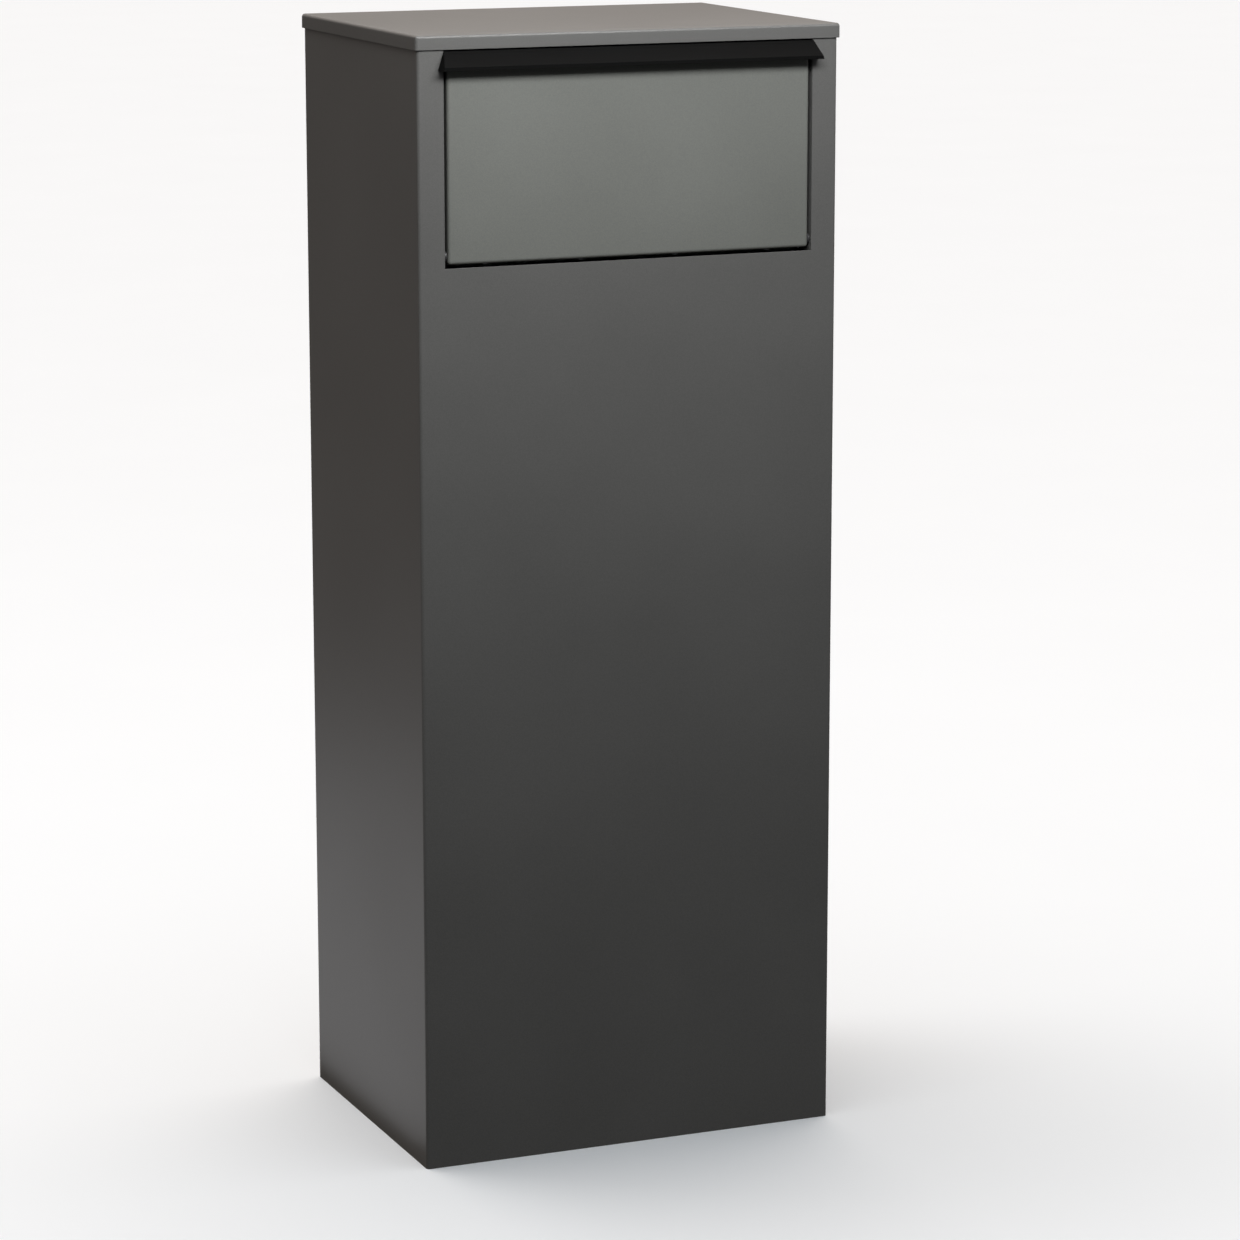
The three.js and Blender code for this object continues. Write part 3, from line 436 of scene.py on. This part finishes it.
cap = block("top_cap_pan", (cap_low.x, cap_low.y, cap_bottom), cap_high)
edit(cap)
remove("FACE", lambda p: near(p.z, cap_bottom))
round_but(lambda p: near(p.z, cap_bottom), outer_bend)
done()
thicken(cap)
deburr(cap)
stud_top = cap_high.z - sheet / 2
stud_bottom = cap_high.z - sheet - stud_length
threads = []
z = stud_bottom + thread
while z < stud_top - plain_end:
    threads += [(stud_radius - thread_depth, z), (stud_radius, z + thread / 2)]
    z += thread
for name in corners:
    nut = middle(f"cap_nut_{name}")
    stud = turned("stud", [
        (0, stud_bottom), (stud_radius - thread / 2, stud_bottom), *threads,
        (stud_radius, stud_top), (0, stud_top)], (nut.x, nut.y, 0), (0, 0, 1), 24)
    join(cap, stud)
fit(cap, "top_cap", "cabinet", powder_coat)


def zinc_plated():
    """Bright zinc plate on steel fixings: a cool, slightly blue metal with a fine uneven bloom."""
    material, tree, shader, place = new_material("zinc_plate_bright")
    bloom = noise(tree, place, 0.0025, 4)
    tree.links.new(mixed(tree, bloom, "aab0b8", "d2d4d6"), shader["Base Color"])
    tree.links.new(ranged(tree, bloom, 0.2, 0.42), shader["Roughness"])
    shader["Metallic"].default_value = 1
    return material


zinc = zinc_plated()
nut_low, nut_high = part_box("cap_nut_front_left")
nut_middle = (nut_low + nut_high) / 2
nut_edge = 0.0004
across_corners = (nut_high.x - nut_low.x) / 2
hexagon = rod("nut", across_corners, (nut_middle.x, nut_middle.y, nut_low.z),
              (nut_middle.x, nut_middle.y, nut_high.z), 6)
cut(hexagon, rod("drill", stud_radius + clearance, (nut_middle.x, nut_middle.y, nut_low.z - past),
                 (nut_middle.x, nut_middle.y, nut_high.z + past), 32))
deburr(hexagon, nut_edge)
for name in corners:
    nut = copied(hexagon, f"cap_nut_{name}_m5", middle(f"cap_nut_{name}") - nut_middle)
    fit(nut, f"cap_nut_{name}", "cabinet", zinc, small_work)
bpy.data.objects.remove(hexagon)

# ---- Rails and jambs ----
# Folded strips and angles spot-welded inside the shell. They stiffen the hatch opening and the
# doorway, and are coated with the shell.


def from_frame(node, name, width=raw_edge, steps=2):
    """A finer copy of a CAD node: merged, with its flat faces made whole and its edges rounded."""
    only(frame["nodes"][node])
    bpy.ops.object.duplicate()
    piece = bpy.context.object
    piece.name = piece.data.name = name
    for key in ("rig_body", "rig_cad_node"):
        del piece[key]
    piece.parent = None
    edit(piece)
    merge_doubles()
    everything()
    bpy.ops.mesh.dissolve_limited(angle_limit=math.radians(1))
    done()
    deburr(piece, width, steps)
    return piece


for node in ("header_rail", "sill_rail", "rear_top_rail", "rear_bottom_rail", "hatch_jamb_left",
             "hatch_jamb_right"):
    rail = from_frame(node, f"{node}_folded")
    fit(rail, node, "cabinet", powder_coat)

# ---- Floor ----
# A galvanised pan spot-welded into the foot of the shell, with four anchor holes. A ribbed rubber
# mat lies in it, and a rubber plug closes each hole.


def galvanised():
    """Hot-dip galvanised sheet: a grey metal broken into spangles of slightly different tone."""
    material, tree, shader, place = new_material("galvanised_steel_spangled")
    spangle = 0.006  # width of one zinc crystal
    crystals = add(tree, "ShaderNodeTexVoronoi", {"Vector": place, "Scale": 1 / spangle})
    grey = add(tree, "ShaderNodeSeparateColor", {"Color": crystals.outputs["Color"]})
    tree.links.new(mixed(tree, grey.outputs["Red"], "a0a4a7", "b6babd"), shader["Base Color"])
    tree.links.new(ranged(tree, grey.outputs["Green"], 0.42, 0.5), shader["Roughness"])
    relief(tree, shader, noise(tree, place, 0.0012, 3), 0.15, 0.00003)
    shader["Metallic"].default_value = 1
    return material


def black_rubber():
    """Moulded EPDM rubber: a matt black with a fine grain and a faint grey bloom."""
    material, tree, shader, place = new_material("moulded_rubber_black")
    bloom = noise(tree, place, 0.03, 4)
    tree.links.new(mixed(tree, bloom, "1b1b1b", "2b2b2a"), shader["Base Color"])
    tree.links.new(ranged(tree, bloom, 0.6, 0.8), shader["Roughness"])
    relief(tree, shader, noise(tree, place, 0.0006, 2), 0.4, 0.0001)
    return material


galvanised_steel = galvanised()
rubber = black_rubber()
pan = from_frame("floor_pan", "floor_pan_folded")
fit(pan, "floor_pan", "cabinet", galvanised_steel)

mat_low, mat_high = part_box("floor_mat")
rib_height = 0.0012
rib_pitch = 0.0065
rib_width = 0.003
ribs = math.floor((mat_high.x - mat_low.x) / rib_pitch)
rib_slope = 0.2 * rib_width
rib_margin = (mat_high.x - mat_low.x - (ribs - 1) * rib_pitch - rib_width) / 2
mat_clearance = 0.003  # round each plug
valley = mat_high.z - rib_height
outline = [(mat_low.x, mat_low.z), (mat_low.x, valley)]
for i in range(ribs):
    x = mat_low.x + rib_margin + i * rib_pitch
    outline += [(x, valley), (x + rib_slope, mat_high.z),
                (x + rib_width - rib_slope, mat_high.z), (x + rib_width, valley)]
outline += [(mat_high.x, valley), (mat_high.x, mat_low.z), (mat_low.x, mat_low.z)]
mat = section("floor_mat_ribbed", [(x, mat_low.y, z) for x, z in outline])
edit(mat)
everything()
slide((0, mat_high.y - mat_low.y, 0))
done()
tidy_normals(mat)
plug_low, plug_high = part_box("anchor_plug_front_left")
plug_radius = (plug_high.x - plug_low.x) / 2
for name in corners:
    anchor = middle(f"anchor_plug_{name}")
    cut(mat, rod("punch", plug_radius + mat_clearance, (anchor.x, anchor.y, mat_low.z - past),
                 (anchor.x, anchor.y, mat_high.z + past)))
fit(mat, "floor_mat", "cabinet", rubber, small_work)

stem = 0.0052
flange = 0.0018  # height of the plug's flange above the foot of the stem
dimple = 0.0032  # radius of the hollow in its top
plug_top = plug_high.z
for name in corners:
    anchor = middle(f"anchor_plug_{name}")
    plug = turned(f"anchor_plug_{name}_moulded", [
        (0, plug_low.z), (stem - 0.0006, plug_low.z), (stem, plug_low.z + 0.0006), (stem, flange),
        (plug_radius - 0.0003, flange), (plug_radius, flange + 0.0004),
        (plug_radius - 0.0006, plug_top - 0.0005), (plug_radius - 0.0016, plug_top),
        (dimple, plug_top), (dimple - 0.0006, plug_top - 0.0005), (0, plug_top - 0.0005)],
        (anchor.x, anchor.y, 0), (0, 0, 1))
    fit(plug, f"anchor_plug_{name}", "cabinet", rubber, small_work)

# ---- Baffle ----
# A galvanised slope fixed behind the hatch, with a folded end at each side. A parcel slides down
# in front of it, and a hand can't reach past it.

baffle = from_frame("anti_theft_baffle", "anti_theft_baffle_folded")
sliver = 2e-5  # faces narrower than this, where its rounded edges meet, are dissolved
edit(baffle)
merge_doubles(sliver)
everything()
bpy.ops.mesh.dissolve_degenerate(threshold=sliver)
bpy.ops.mesh.select_all(action="DESELECT")
bpy.ops.mesh.select_mode(type="FACE")
bpy.ops.mesh.select_interior_faces()  # what the slivers leave inside
bpy.ops.mesh.delete(type="ONLY_FACE")
done()
fit(baffle, "anti_theft_baffle", "cabinet", galvanised_steel)

# ---- Hatch pivots ----
# Zinc-plated shoulder studs pressed into the jambs. A nylon washer on each keeps the flap from
# rubbing on the coat.


def black_nylon():
    """Black polyamide, moulded: a dark waxy grey-black with faint flow marks."""
    material, tree, shader, place = new_material("moulded_nylon_black")
    marks = noise(tree, place, 0.004, 2)
    tree.links.new(mixed(tree, marks, "1c1c1d", "272728"), shader["Base Color"])
    shader["Roughness"].default_value = 0.42
    shader["IOR"].default_value = 1.53
    return material


nylon = black_nylon()
stud_low, stud_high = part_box("hatch_pivot_right")
pivot = Vector((0, (stud_low.y + stud_high.y) / 2, (stud_low.z + stud_high.z) / 2))
pivot_bore = 0.0033
pivot_radius = 0.003
head_radius = 0.005
head_height = 0.0025
for name, hand in (("left", -1), ("right", 1)):
    low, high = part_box(f"hatch_pivot_{name}")
    length = high.x - low.x
    start = (low.x if hand > 0 else high.x, pivot.y, pivot.z)
    neck = length - head_height
    stud = turned(f"hatch_pivot_{name}_turned", [
        (0, 0), (pivot_radius - 0.0005, 0), (pivot_radius, 0.0005), (pivot_radius, neck),
        (head_radius - 0.0003, neck), (head_radius, neck + 0.0003), (head_radius, length - 0.0009),
        (head_radius - 0.0009, length), (0, length)], start, (hand, 0, 0))
    fit(stud, f"hatch_pivot_{name}", "cabinet", zinc, small_work)
    low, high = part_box(f"pivot_washer_{name}")
    thickness = high.x - low.x
    start = (low.x if hand > 0 else high.x, pivot.y, pivot.z)
    washer = turned(f"pivot_washer_{name}_moulded", [
        (pivot_bore, 0.0002), (pivot_bore + 0.0002, 0), (head_radius - 0.0003, 0),
        (head_radius, 0.0003), (head_radius, thickness - 0.0003),
        (head_radius - 0.0003, thickness), (pivot_bore + 0.0002, thickness),
        (pivot_bore, thickness - 0.0002)], start, (hand, 0, 0))
    fit(washer, f"pivot_washer_{name}", "cabinet", nylon, small_work)

# ---- Hatch flap ----
# A pan folded from the same sheet, in the body's coat painted a touch lighter for the brighter
# light on the flap: painted light. Its lower wall is cut back and carries the tray.

flap_foot = 0.011
rivet_hole = 0.0019
screw_hole = 0.0023
# painted light: a lighter copy of the body's coat, standing in for the brighter light on the flap
flap_coat_painted_lighter = powder_coated("powder_coat_metallic_anthracite_flap_painted_lighter", "60625f", "70726e")


def pan_of_sheet(name, low, high, open_y):
    """A pan that is open at one end of Y."""
    piece = block(name, low, high)
    edit(piece)
    remove("FACE", lambda p: near(p.y, open_y))
    round_but(lambda p: near(p.y, open_y), outer_bend)
    done()
    thicken(piece)
    return piece


flap = pan_of_sheet("hatch_flap_folded", flap_low, flap_high, flap_high.y)
cut(flap, block("shear", (flap_low.x + sheet, flap_low.y + flap_foot, flap_low.z - past),
                (flap_high.x - sheet, flap_high.y + past, flap_low.z + 2 * sheet)))
for hand in (-1, 1):
    wall = pivot + Vector((hand * flap_high.x, 0, 0))
    through = Vector((2 * sheet, 0, 0))
    cut(flap, rod("drill", pivot_bore, wall - through, wall + through))
for i in (1, 2, 3, 4):
    rivet = middle(f"tray_rivet_{i}")
    cut(flap, rod("drill", rivet_hole, (rivet.x, rivet.y, flap_low.z - past),
                  (rivet.x, rivet.y, flap_low.z + 2 * sheet)))
for name in ("left", "middle", "right"):
    screw = middle(f"grip_screw_{name}")
    cut(flap, rod("drill", screw_hole, (screw.x, flap_low.y - past, screw.z),
                  (screw.x, flap_low.y + 2 * sheet, screw.z)))
deburr(flap)
fit(flap, "hatch_flap", "hatch", flap_coat_painted_lighter)

# ---- Grip strip ----
# A hooded black strip along the top of the flap, hollow below for the fingers and closed at its
# ends. Three screws hold it from inside.


def black_strip():
    """Dyed black anodised extrusion: a deep dull black with faint draw lines along its length."""
    material, tree, shader, place = new_material("anodised_strip_black")
    shader["Specular IOR Level"].default_value = 0.05
    along = add(tree, "ShaderNodeMapping", {"Vector": place, "Scale": (0.01, 1, 1)})
    lines = noise(tree, along.outputs["Vector"], 0.0006, 2)
    tree.links.new(mixed(tree, lines, "040404", "0a0a0a"), shader["Base Color"])
    tree.links.new(ranged(tree, lines, 0.5, 0.62), shader["Roughness"])
    relief(tree, shader, lines, 0.15, 0.00003)
    return material


strip_black = black_strip()
grip_low, grip_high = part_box("grip_strip")
grip_wall = 0.0022
grip_flat = 0.0015
grip_lip = 0.003
grip_roof = 2.2 * grip_wall
grip_edge = 0.0005
grip_flare = 0.005  # the ends' lower corners stand this far outside the upper ones


def extruded(name, points, x_start, x_end):
    """A closed section drawn in y and z, with its length along X."""
    piece = section(name, [(x_start, y, z) for y, z in points + points[:1]])
    edit(piece)
    everything()
    slide((x_end - x_start, 0, 0))
    done()
    tidy_normals(piece)
    return piece


grip = extruded("grip_strip_black", [
    (grip_high.y, grip_low.z), (grip_high.y, grip_high.z), (grip_high.y - grip_flat, grip_high.z),
    (grip_low.y, grip_low.z + grip_lip), (grip_low.y, grip_low.z)], grip_low.x, grip_high.x)
for hand in (-1, 1):
    edit(grip)
    everything()
    outward = Vector((hand * (grip_high.z - grip_low.z), 0, grip_flare)).normalized()
    bpy.ops.mesh.bisect(plane_co=(hand * grip_high.x, 0, grip_low.z), plane_no=outward,
                        use_fill=True, clear_outer=True)
    done()
hollow_end = grip_high.x - grip_flare - grip_wall
cut(grip, extruded("hollow", [
    (grip_high.y - grip_wall, grip_low.z - past),
    (grip_high.y - grip_wall, grip_high.z - grip_roof),
    (grip_low.y + grip_wall, grip_low.z + grip_lip - grip_wall / 2),
    (grip_low.y + grip_wall, grip_low.z - past)], -hollow_end, hollow_end))
for name in ("left", "middle", "right"):
    screw = middle(f"grip_screw_{name}")
    cut(grip, rod("drill", screw_hole, (screw.x, grip_high.y - 2 * grip_wall, screw.z),
                  (screw.x, grip_high.y + past, screw.z)))
shape(grip, "BEVEL", width=grip_edge, segments=3, limit_method="ANGLE",
      angle_limit=math.radians(30))
fit(grip, "grip_strip", "hatch", strip_black)

screw_radius = 0.002
screw_head = 0.0038
socket_radius = 0.0013
socket_depth = 0.0014
for name in ("left", "middle", "right"):
    low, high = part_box(f"grip_screw_{name}")
    centre = (low + high) / 2
    length = high.y - low.y
    seat = length - head_height
    screw = turned(f"grip_screw_{name}_m4", [
        (0, 0), (screw_radius - 0.0004, 0), (screw_radius, 0.0004), (screw_radius, seat),
        (screw_head - 0.0002, seat), (screw_head, seat + 0.0002),
        (0.92 * screw_head, seat + 0.0012), (0.7 * screw_head, seat + 0.0021),
        (0.4 * screw_head, length), (0, length)],
        (centre.x, low.y, centre.z), (0, 1, 0))
    socket = rod("socket", socket_radius, (centre.x, high.y - socket_depth, centre.z),
                 (centre.x, high.y + past, centre.z), 6)
    cut(screw, socket)
    fit(screw, f"grip_screw_{name}", "hatch", zinc, small_work)

# ---- Tray, cheeks and stops ----
# The tray is riveted to the flap's lower wall and slopes into the box. A galvanised cheek closes
# each side, and its tab carries a rubber buffer that meets the jamb when the hatch is fully open.

buffer_edge = 0.0008
tray = from_frame("chute_tray", "chute_tray_folded")
fit(tray, "chute_tray", "hatch", galvanised_steel)
for name in ("left", "right"):
    cheek = from_frame(f"hatch_cheek_{name}", f"hatch_cheek_{name}_cut")
    fit(cheek, f"hatch_cheek_{name}", "hatch", galvanised_steel)
    buffer = from_frame(f"stop_buffer_{name}", f"stop_buffer_{name}_moulded", buffer_edge, 4)
    fit(buffer, f"stop_buffer_{name}", "hatch", rubber)

rivet_radius = 0.0016
rivet_head = 0.003
rivet_dome = 0.0014  # height of the head


def dome(seat, sense):
    """A rivet's domed head on its seat."""
    steps = 6
    return [(rivet_head * math.cos(a), seat + sense * rivet_dome * math.sin(a))
            for a in (i * math.pi / 2 / steps for i in range(steps + 1))]


for i in (1, 2, 3, 4):
    low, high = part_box(f"tray_rivet_{i}")
    centre = (low + high) / 2
    under = low.z + rivet_dome
    over = high.z - rivet_dome
    rivet = turned(f"tray_rivet_{i}_domed", [
        *reversed(dome(under, -1)), (rivet_radius, under), (rivet_radius, over), *dome(over, 1)],
        (centre.x, centre.y, 0), (0, 0, 1), 32)
    fit(rivet, f"tray_rivet_{i}", "hatch", zinc)

# ---- Hatch seal ----
# A strip of closed-cell foam on the header's lip, which the top of the flap rests on. Its edges
# on the flap's side are rounded.


def black_foam():
    """Closed-cell EPDM foam: charcoal and matt, with painted shade in the skin's small pores."""
    material, tree, shader, place = new_material("closed_cell_foam_black")
    pores = add(tree, "ShaderNodeTexVoronoi", {"Vector": place, "Scale": 1 / 0.0011})
    depth = pores.outputs["Distance"]
    # painted shade: each pore is darker towards its hollow, the same depth that drives the bump
    tree.links.new(mixed(tree, depth, "111111", "2a2a2a"), shader["Base Color"])
    relief(tree, shader, depth, 0.5, 0.0002)
    shader["Roughness"].default_value = 0.85
    return material


foam = black_foam()
foam_corner = 0.0022
foam_edge = 0.0005
low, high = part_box("hatch_seal")
seal = block("hatch_seal_foam", low, high)
edit(seal)
pick("EDGE", lambda p: near(p.y, low.y))
round_edges(foam_corner)
done()
deburr(seal, foam_edge)
fit(seal, "hatch_seal", "cabinet", foam)

# ---- Rear door ----
# The collection door is a pan of the same coated sheet. Two galvanised hat sections stiffen it
# from inside.

door = pan_of_sheet("rear_door_folded", door_low, door_high, door_low.y)
pin = middle("door_pin_bottom")
bush_outer = 0.0045
for z in (door_low.z, door_high.z):
    cut(door, rod("drill", bush_outer + clearance, (pin.x, pin.y, z - 2 * sheet),
                  (pin.x, pin.y, z + 2 * sheet)))
lock = middle("lock_plug")
lock_radius = 0.0095
cut(door, rod("drill", lock_radius + clearance, (lock.x, door_high.y - 2 * sheet, lock.z),
              (lock.x, door_high.y + past, lock.z)))
deburr(door)
fit(door, "door_panel", "rear_door", powder_coat)
for name in ("lower", "upper"):
    stiffener = from_frame(f"door_stiffener_{name}", f"door_stiffener_{name}_folded")
    fit(stiffener, f"door_stiffener_{name}", "rear_door", galvanised_steel)

# ---- Door hinge ----
# A steel pin stands in each rail, and the door turns on them in two nylon bushes. A strip of foam
# on each rail's lip seals the door's top and bottom.

pin_radius = 0.003
pin_head = 0.0046
collar = 0.0048  # the bush's collar begins this far along it
bore = pin_radius + clearance
for name, sense in (("top", 1), ("bottom", -1)):
    low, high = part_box(f"door_pin_{name}")
    length = high.z - low.z
    neck = length - head_height
    start = (pin.x, pin.y, low.z if sense > 0 else high.z)
    hinge_pin = turned(f"door_pin_{name}_turned", [
        (0, 0), (pin_radius - 0.0008, 0), (pin_radius, 0.001), (pin_radius, neck),
        (pin_head - 0.0003, neck), (pin_head, neck + 0.0003), (pin_head, length - 0.0007),
        (pin_head - 0.0007, length), (0, length)], start, (0, 0, sense))
    fit(hinge_pin, f"door_pin_{name}", "cabinet", zinc, small_work)
    low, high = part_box(f"door_bush_{name}")
    length = high.z - low.z
    bush_head = (high.x - low.x) / 2
    start = (pin.x, pin.y, low.z if sense > 0 else high.z)
    bush = turned(f"door_bush_{name}_moulded", [
        (bore, 0.0003), (bore + 0.0003, 0), (bush_outer - 0.0003, 0), (bush_outer, 0.0005),
        (bush_outer, collar), (bush_head - 0.0003, collar), (bush_head, collar + 0.0003),
        (bush_head, length - 0.0004), (bush_head - 0.0004, length), (bore + 0.0003, length),
        (bore, length - 0.0003)], start, (0, 0, sense))
    fit(bush, f"door_bush_{name}", "rear_door", nylon, small_work)

door_foam_corner = 0.0006
for name in ("top", "bottom"):
    low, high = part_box(f"door_seal_{name}")
    seal = block(f"door_seal_{name}_foam", low, high)
    edit(seal)
    pick("EDGE", lambda p: near(p.y, high.y))
    round_edges(door_foam_corner, 4)
    done()
    fit(seal, f"door_seal_{name}", "cabinet", foam)

# ---- Cam lock ----
# A die-cast housing, chrome plated, held in the door by a flat nut. The plug turns a steel cam
# behind a strike riveted to the return.


def chrome_plated():
    """Bright chrome over die-cast zinc: a near mirror, with hairline marks from keys and hands."""
    material, tree, shader, place = new_material("chrome_plate_bright")
    smears = noise(tree, place, 0.006, 5)
    tree.links.new(ranged(tree, smears, 0.05, 0.2), shader["Roughness"])
    shader["Base Color"].default_value = linear("dcdee0")
    shader["Metallic"].default_value = 1
    return material


chrome = chrome_plated()
low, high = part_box("lock_housing")
flange_radius = (high.x - low.x) / 2
length = high.y - low.y
flange_under = length - 0.002
plug_bore = 0.0063
housing = turned("lock_housing_cast", [
    (plug_bore, 0.0003), (plug_bore + 0.0003, 0), (lock_radius - 0.0006, 0), (lock_radius, 0.0006),
    (lock_radius, flange_under), (flange_radius - 0.0002, flange_under),
    (flange_radius, flange_under + 0.0003), (flange_radius, flange_under + 0.001),
    (flange_radius - 0.0004, flange_under + 0.0015), (flange_radius - 0.0012, length),
    (plug_bore + 0.0012, length), (plug_bore + 0.0004, length - 0.0003),
    (plug_bore, length - 0.0009)],
    (lock.x, low.y, lock.z), (0, 1, 0), 64)
fit(housing, "lock_housing", "rear_door", chrome, small_work)

low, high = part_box("lock_nut")
lock_nut_edge = 0.0005
nut = rod("lock_nut_flat", (high.x - low.x) / 2, (lock.x, low.y, lock.z),
          (lock.x, high.y, lock.z), 6)
cut(nut, rod("drill", lock_radius + clearance, (lock.x, low.y - past, lock.z),
             (lock.x, high.y + past, lock.z)))
deburr(nut, lock_nut_edge)
fit(nut, "lock_nut", "rear_door", zinc, small_work)

plug_core = from_frame("lock_plug", "lock_plug_keyed")
fit(plug_core, "lock_plug", "lock_core", chrome)
for node, name in (("lock_cam", "lock_cam_stamped"), ("cam_screw", "cam_screw_m4")):
    piece = from_frame(node, name)
    fit(piece, node, "lock_core", zinc)
strike = from_frame("lock_strike", "lock_strike_folded")
fit(strike, "lock_strike", "cabinet", zinc)
for i in (1, 2):
    low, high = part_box(f"strike_rivet_{i}")
    centre = (low + high) / 2
    seat = high.x - rivet_dome
    rivet = turned(f"strike_rivet_{i}_domed", [
        (0, low.x), (rivet_radius, low.x), (rivet_radius, seat), *dome(seat, 1)],
        (0, centre.y, centre.z), (1, 0, 0), 32)
    fit(rivet, f"strike_rivet_{i}", "cabinet", zinc)

# ---- Studio ----
# A plain pale floor that runs out to a pale wall all round. The room's light is soft, bright
# overhead and dim near the floor. Softboxes in front, above, behind and at the right lift the
# coat's faces, and one on the floor stands for the light that it throws up at the left side.

room_radius = 40
room_height = 30
room_sides = 96
only()
bpy.ops.mesh.primitive_circle_add(vertices=room_sides, radius=room_radius, fill_type="NGON")
floor = bpy.context.object
floor.name = "studio_floor"
material, tree, shader, place = new_material("studio_floor_white")
mottle = noise(tree, place, 1 / 3, 2)
tree.links.new(mixed(tree, mottle, "edf4fa", "eff6fc"), shader["Base Color"])
shader["Roughness"].default_value = 0.9
floor.data.materials.append(material)
bpy.ops.mesh.primitive_cylinder_add(vertices=room_sides, radius=room_radius, depth=room_height,
                                    end_fill_type="NOTHING", location=(0, 0, room_height / 2))
wall = bpy.context.object
wall.name = "studio_wall"
material, tree, shader, place = new_material("studio_wall_white")
shader["Base Color"].default_value = (0, 0, 0, 1)
shader["Emission Color"].default_value = (1, 1, 1, 1)
shader["Emission Strength"].default_value = 0.97
wall.data.materials.append(material)
wall.visible_shadow = False
for stage in (floor, wall):  # white for the camera, and kept out of the coat's reflections
    stage.visible_diffuse = False
    stage.visible_glossy = False

all_but_floor = bpy.data.collections.new("all_but_floor")
all_but_floor.objects.link(floor)
all_but_floor.collection_objects[0].light_linking.link_state = "EXCLUDE"


def softbox(name, place, aim, width, height, power, tint="ffffff"):
    """A rectangular area light, in watts, that faces a point and leaves the floor unlit."""
    light = bpy.data.lights.new(name, "AREA")
    light.shape = "RECTANGLE"
    light.size, light.size_y = width, height
    light.energy = power
    light.color = linear(tint)[:3]
    lamp = bpy.data.objects.new(name, light)
    bpy.context.scene.collection.objects.link(lamp)
    lamp.location = place
    lamp.rotation_euler = (Vector(aim) - Vector(place)).to_track_quat("-Z", "Y").to_euler()
    lamp.visible_camera = False
    lamp.light_linking.receiver_collection = all_but_floor
    return lamp


softbox("front_softbox", (-0.05, -0.85, 1.5), (-0.05, -0.15, 1.35), 0.8, 0.3, 8)
front_fill = softbox("front_fill", (-0.05, -0.95, 1.5), (-0.05, -0.15, 1.35), 0.8, 0.3, 21)
front_fill.visible_glossy = False
top_light = softbox("top_softbox", (-0.7, 0.6, 3.2), (0, 0, 0.5), 0.7, 0.7, 7)
top_light.light_linking.receiver_collection = None  # this one lights the floor too
softbox("right_softbox", (2.2, -0.1, 1.3), (0.2, 0, 0.6), 1.2, 0.8, 5)
back_fill = softbox("back_fill", (-0.1, 1.9, 2.1), (0, 0.15, 0.6), 1.2, 0.8, 26)
back_fill.visible_glossy = False
softbox("floor_bounce", (-0.583, 0.65, 0.012), (-0.563, 0.65, 1), 1.5, 0.73, 1.95, "f8faff")

scene = bpy.context.scene
world = bpy.data.worlds.new("studio_room")
scene.world = world
world.use_nodes = True
room = world.node_tree
way = add(room, "ShaderNodeTexCoord", {}).outputs["Generated"]
way_parts = add(room, "ShaderNodeSeparateXYZ", {"Vector": way})
glow = add(room, "ShaderNodeMapRange", {
    "Value": way_parts.outputs["Z"], "From Min": 0.1, "From Max": 0.8,
    "To Min": 0.15, "To Max": 2.05}, interpolation_type="SMOOTHSTEP")
behind = ranged(room, way_parts.outputs["Y"], 0, 1, **{"From Min": -0.3, "From Max": 0.5})
background = room.nodes["Background"].inputs
room.links.new(mixed(room, behind, "b3b3b3", "fff2e8"), background["Color"])
room.links.new(glow.outputs["Result"], background["Strength"])
scene.view_settings.view_transform = "Standard"

azimuth = math.radians(-22.8)
elevation = math.radians(11.77)
distance = 4.059
aim = Vector((0.041, -0.027, 0.465))
back = Vector((math.sin(azimuth) * math.cos(elevation), -math.cos(azimuth) * math.cos(elevation),
               math.sin(elevation)))
camera_data = bpy.data.cameras.new("view")
camera_data.lens = 126.78
camera_data.sensor_width = 36
camera = bpy.data.objects.new("view", camera_data)
scene.collection.objects.link(camera)
camera.location = aim + distance * back
camera.rotation_euler = (math.pi / 2 - elevation, 0, azimuth)
scene.camera = camera
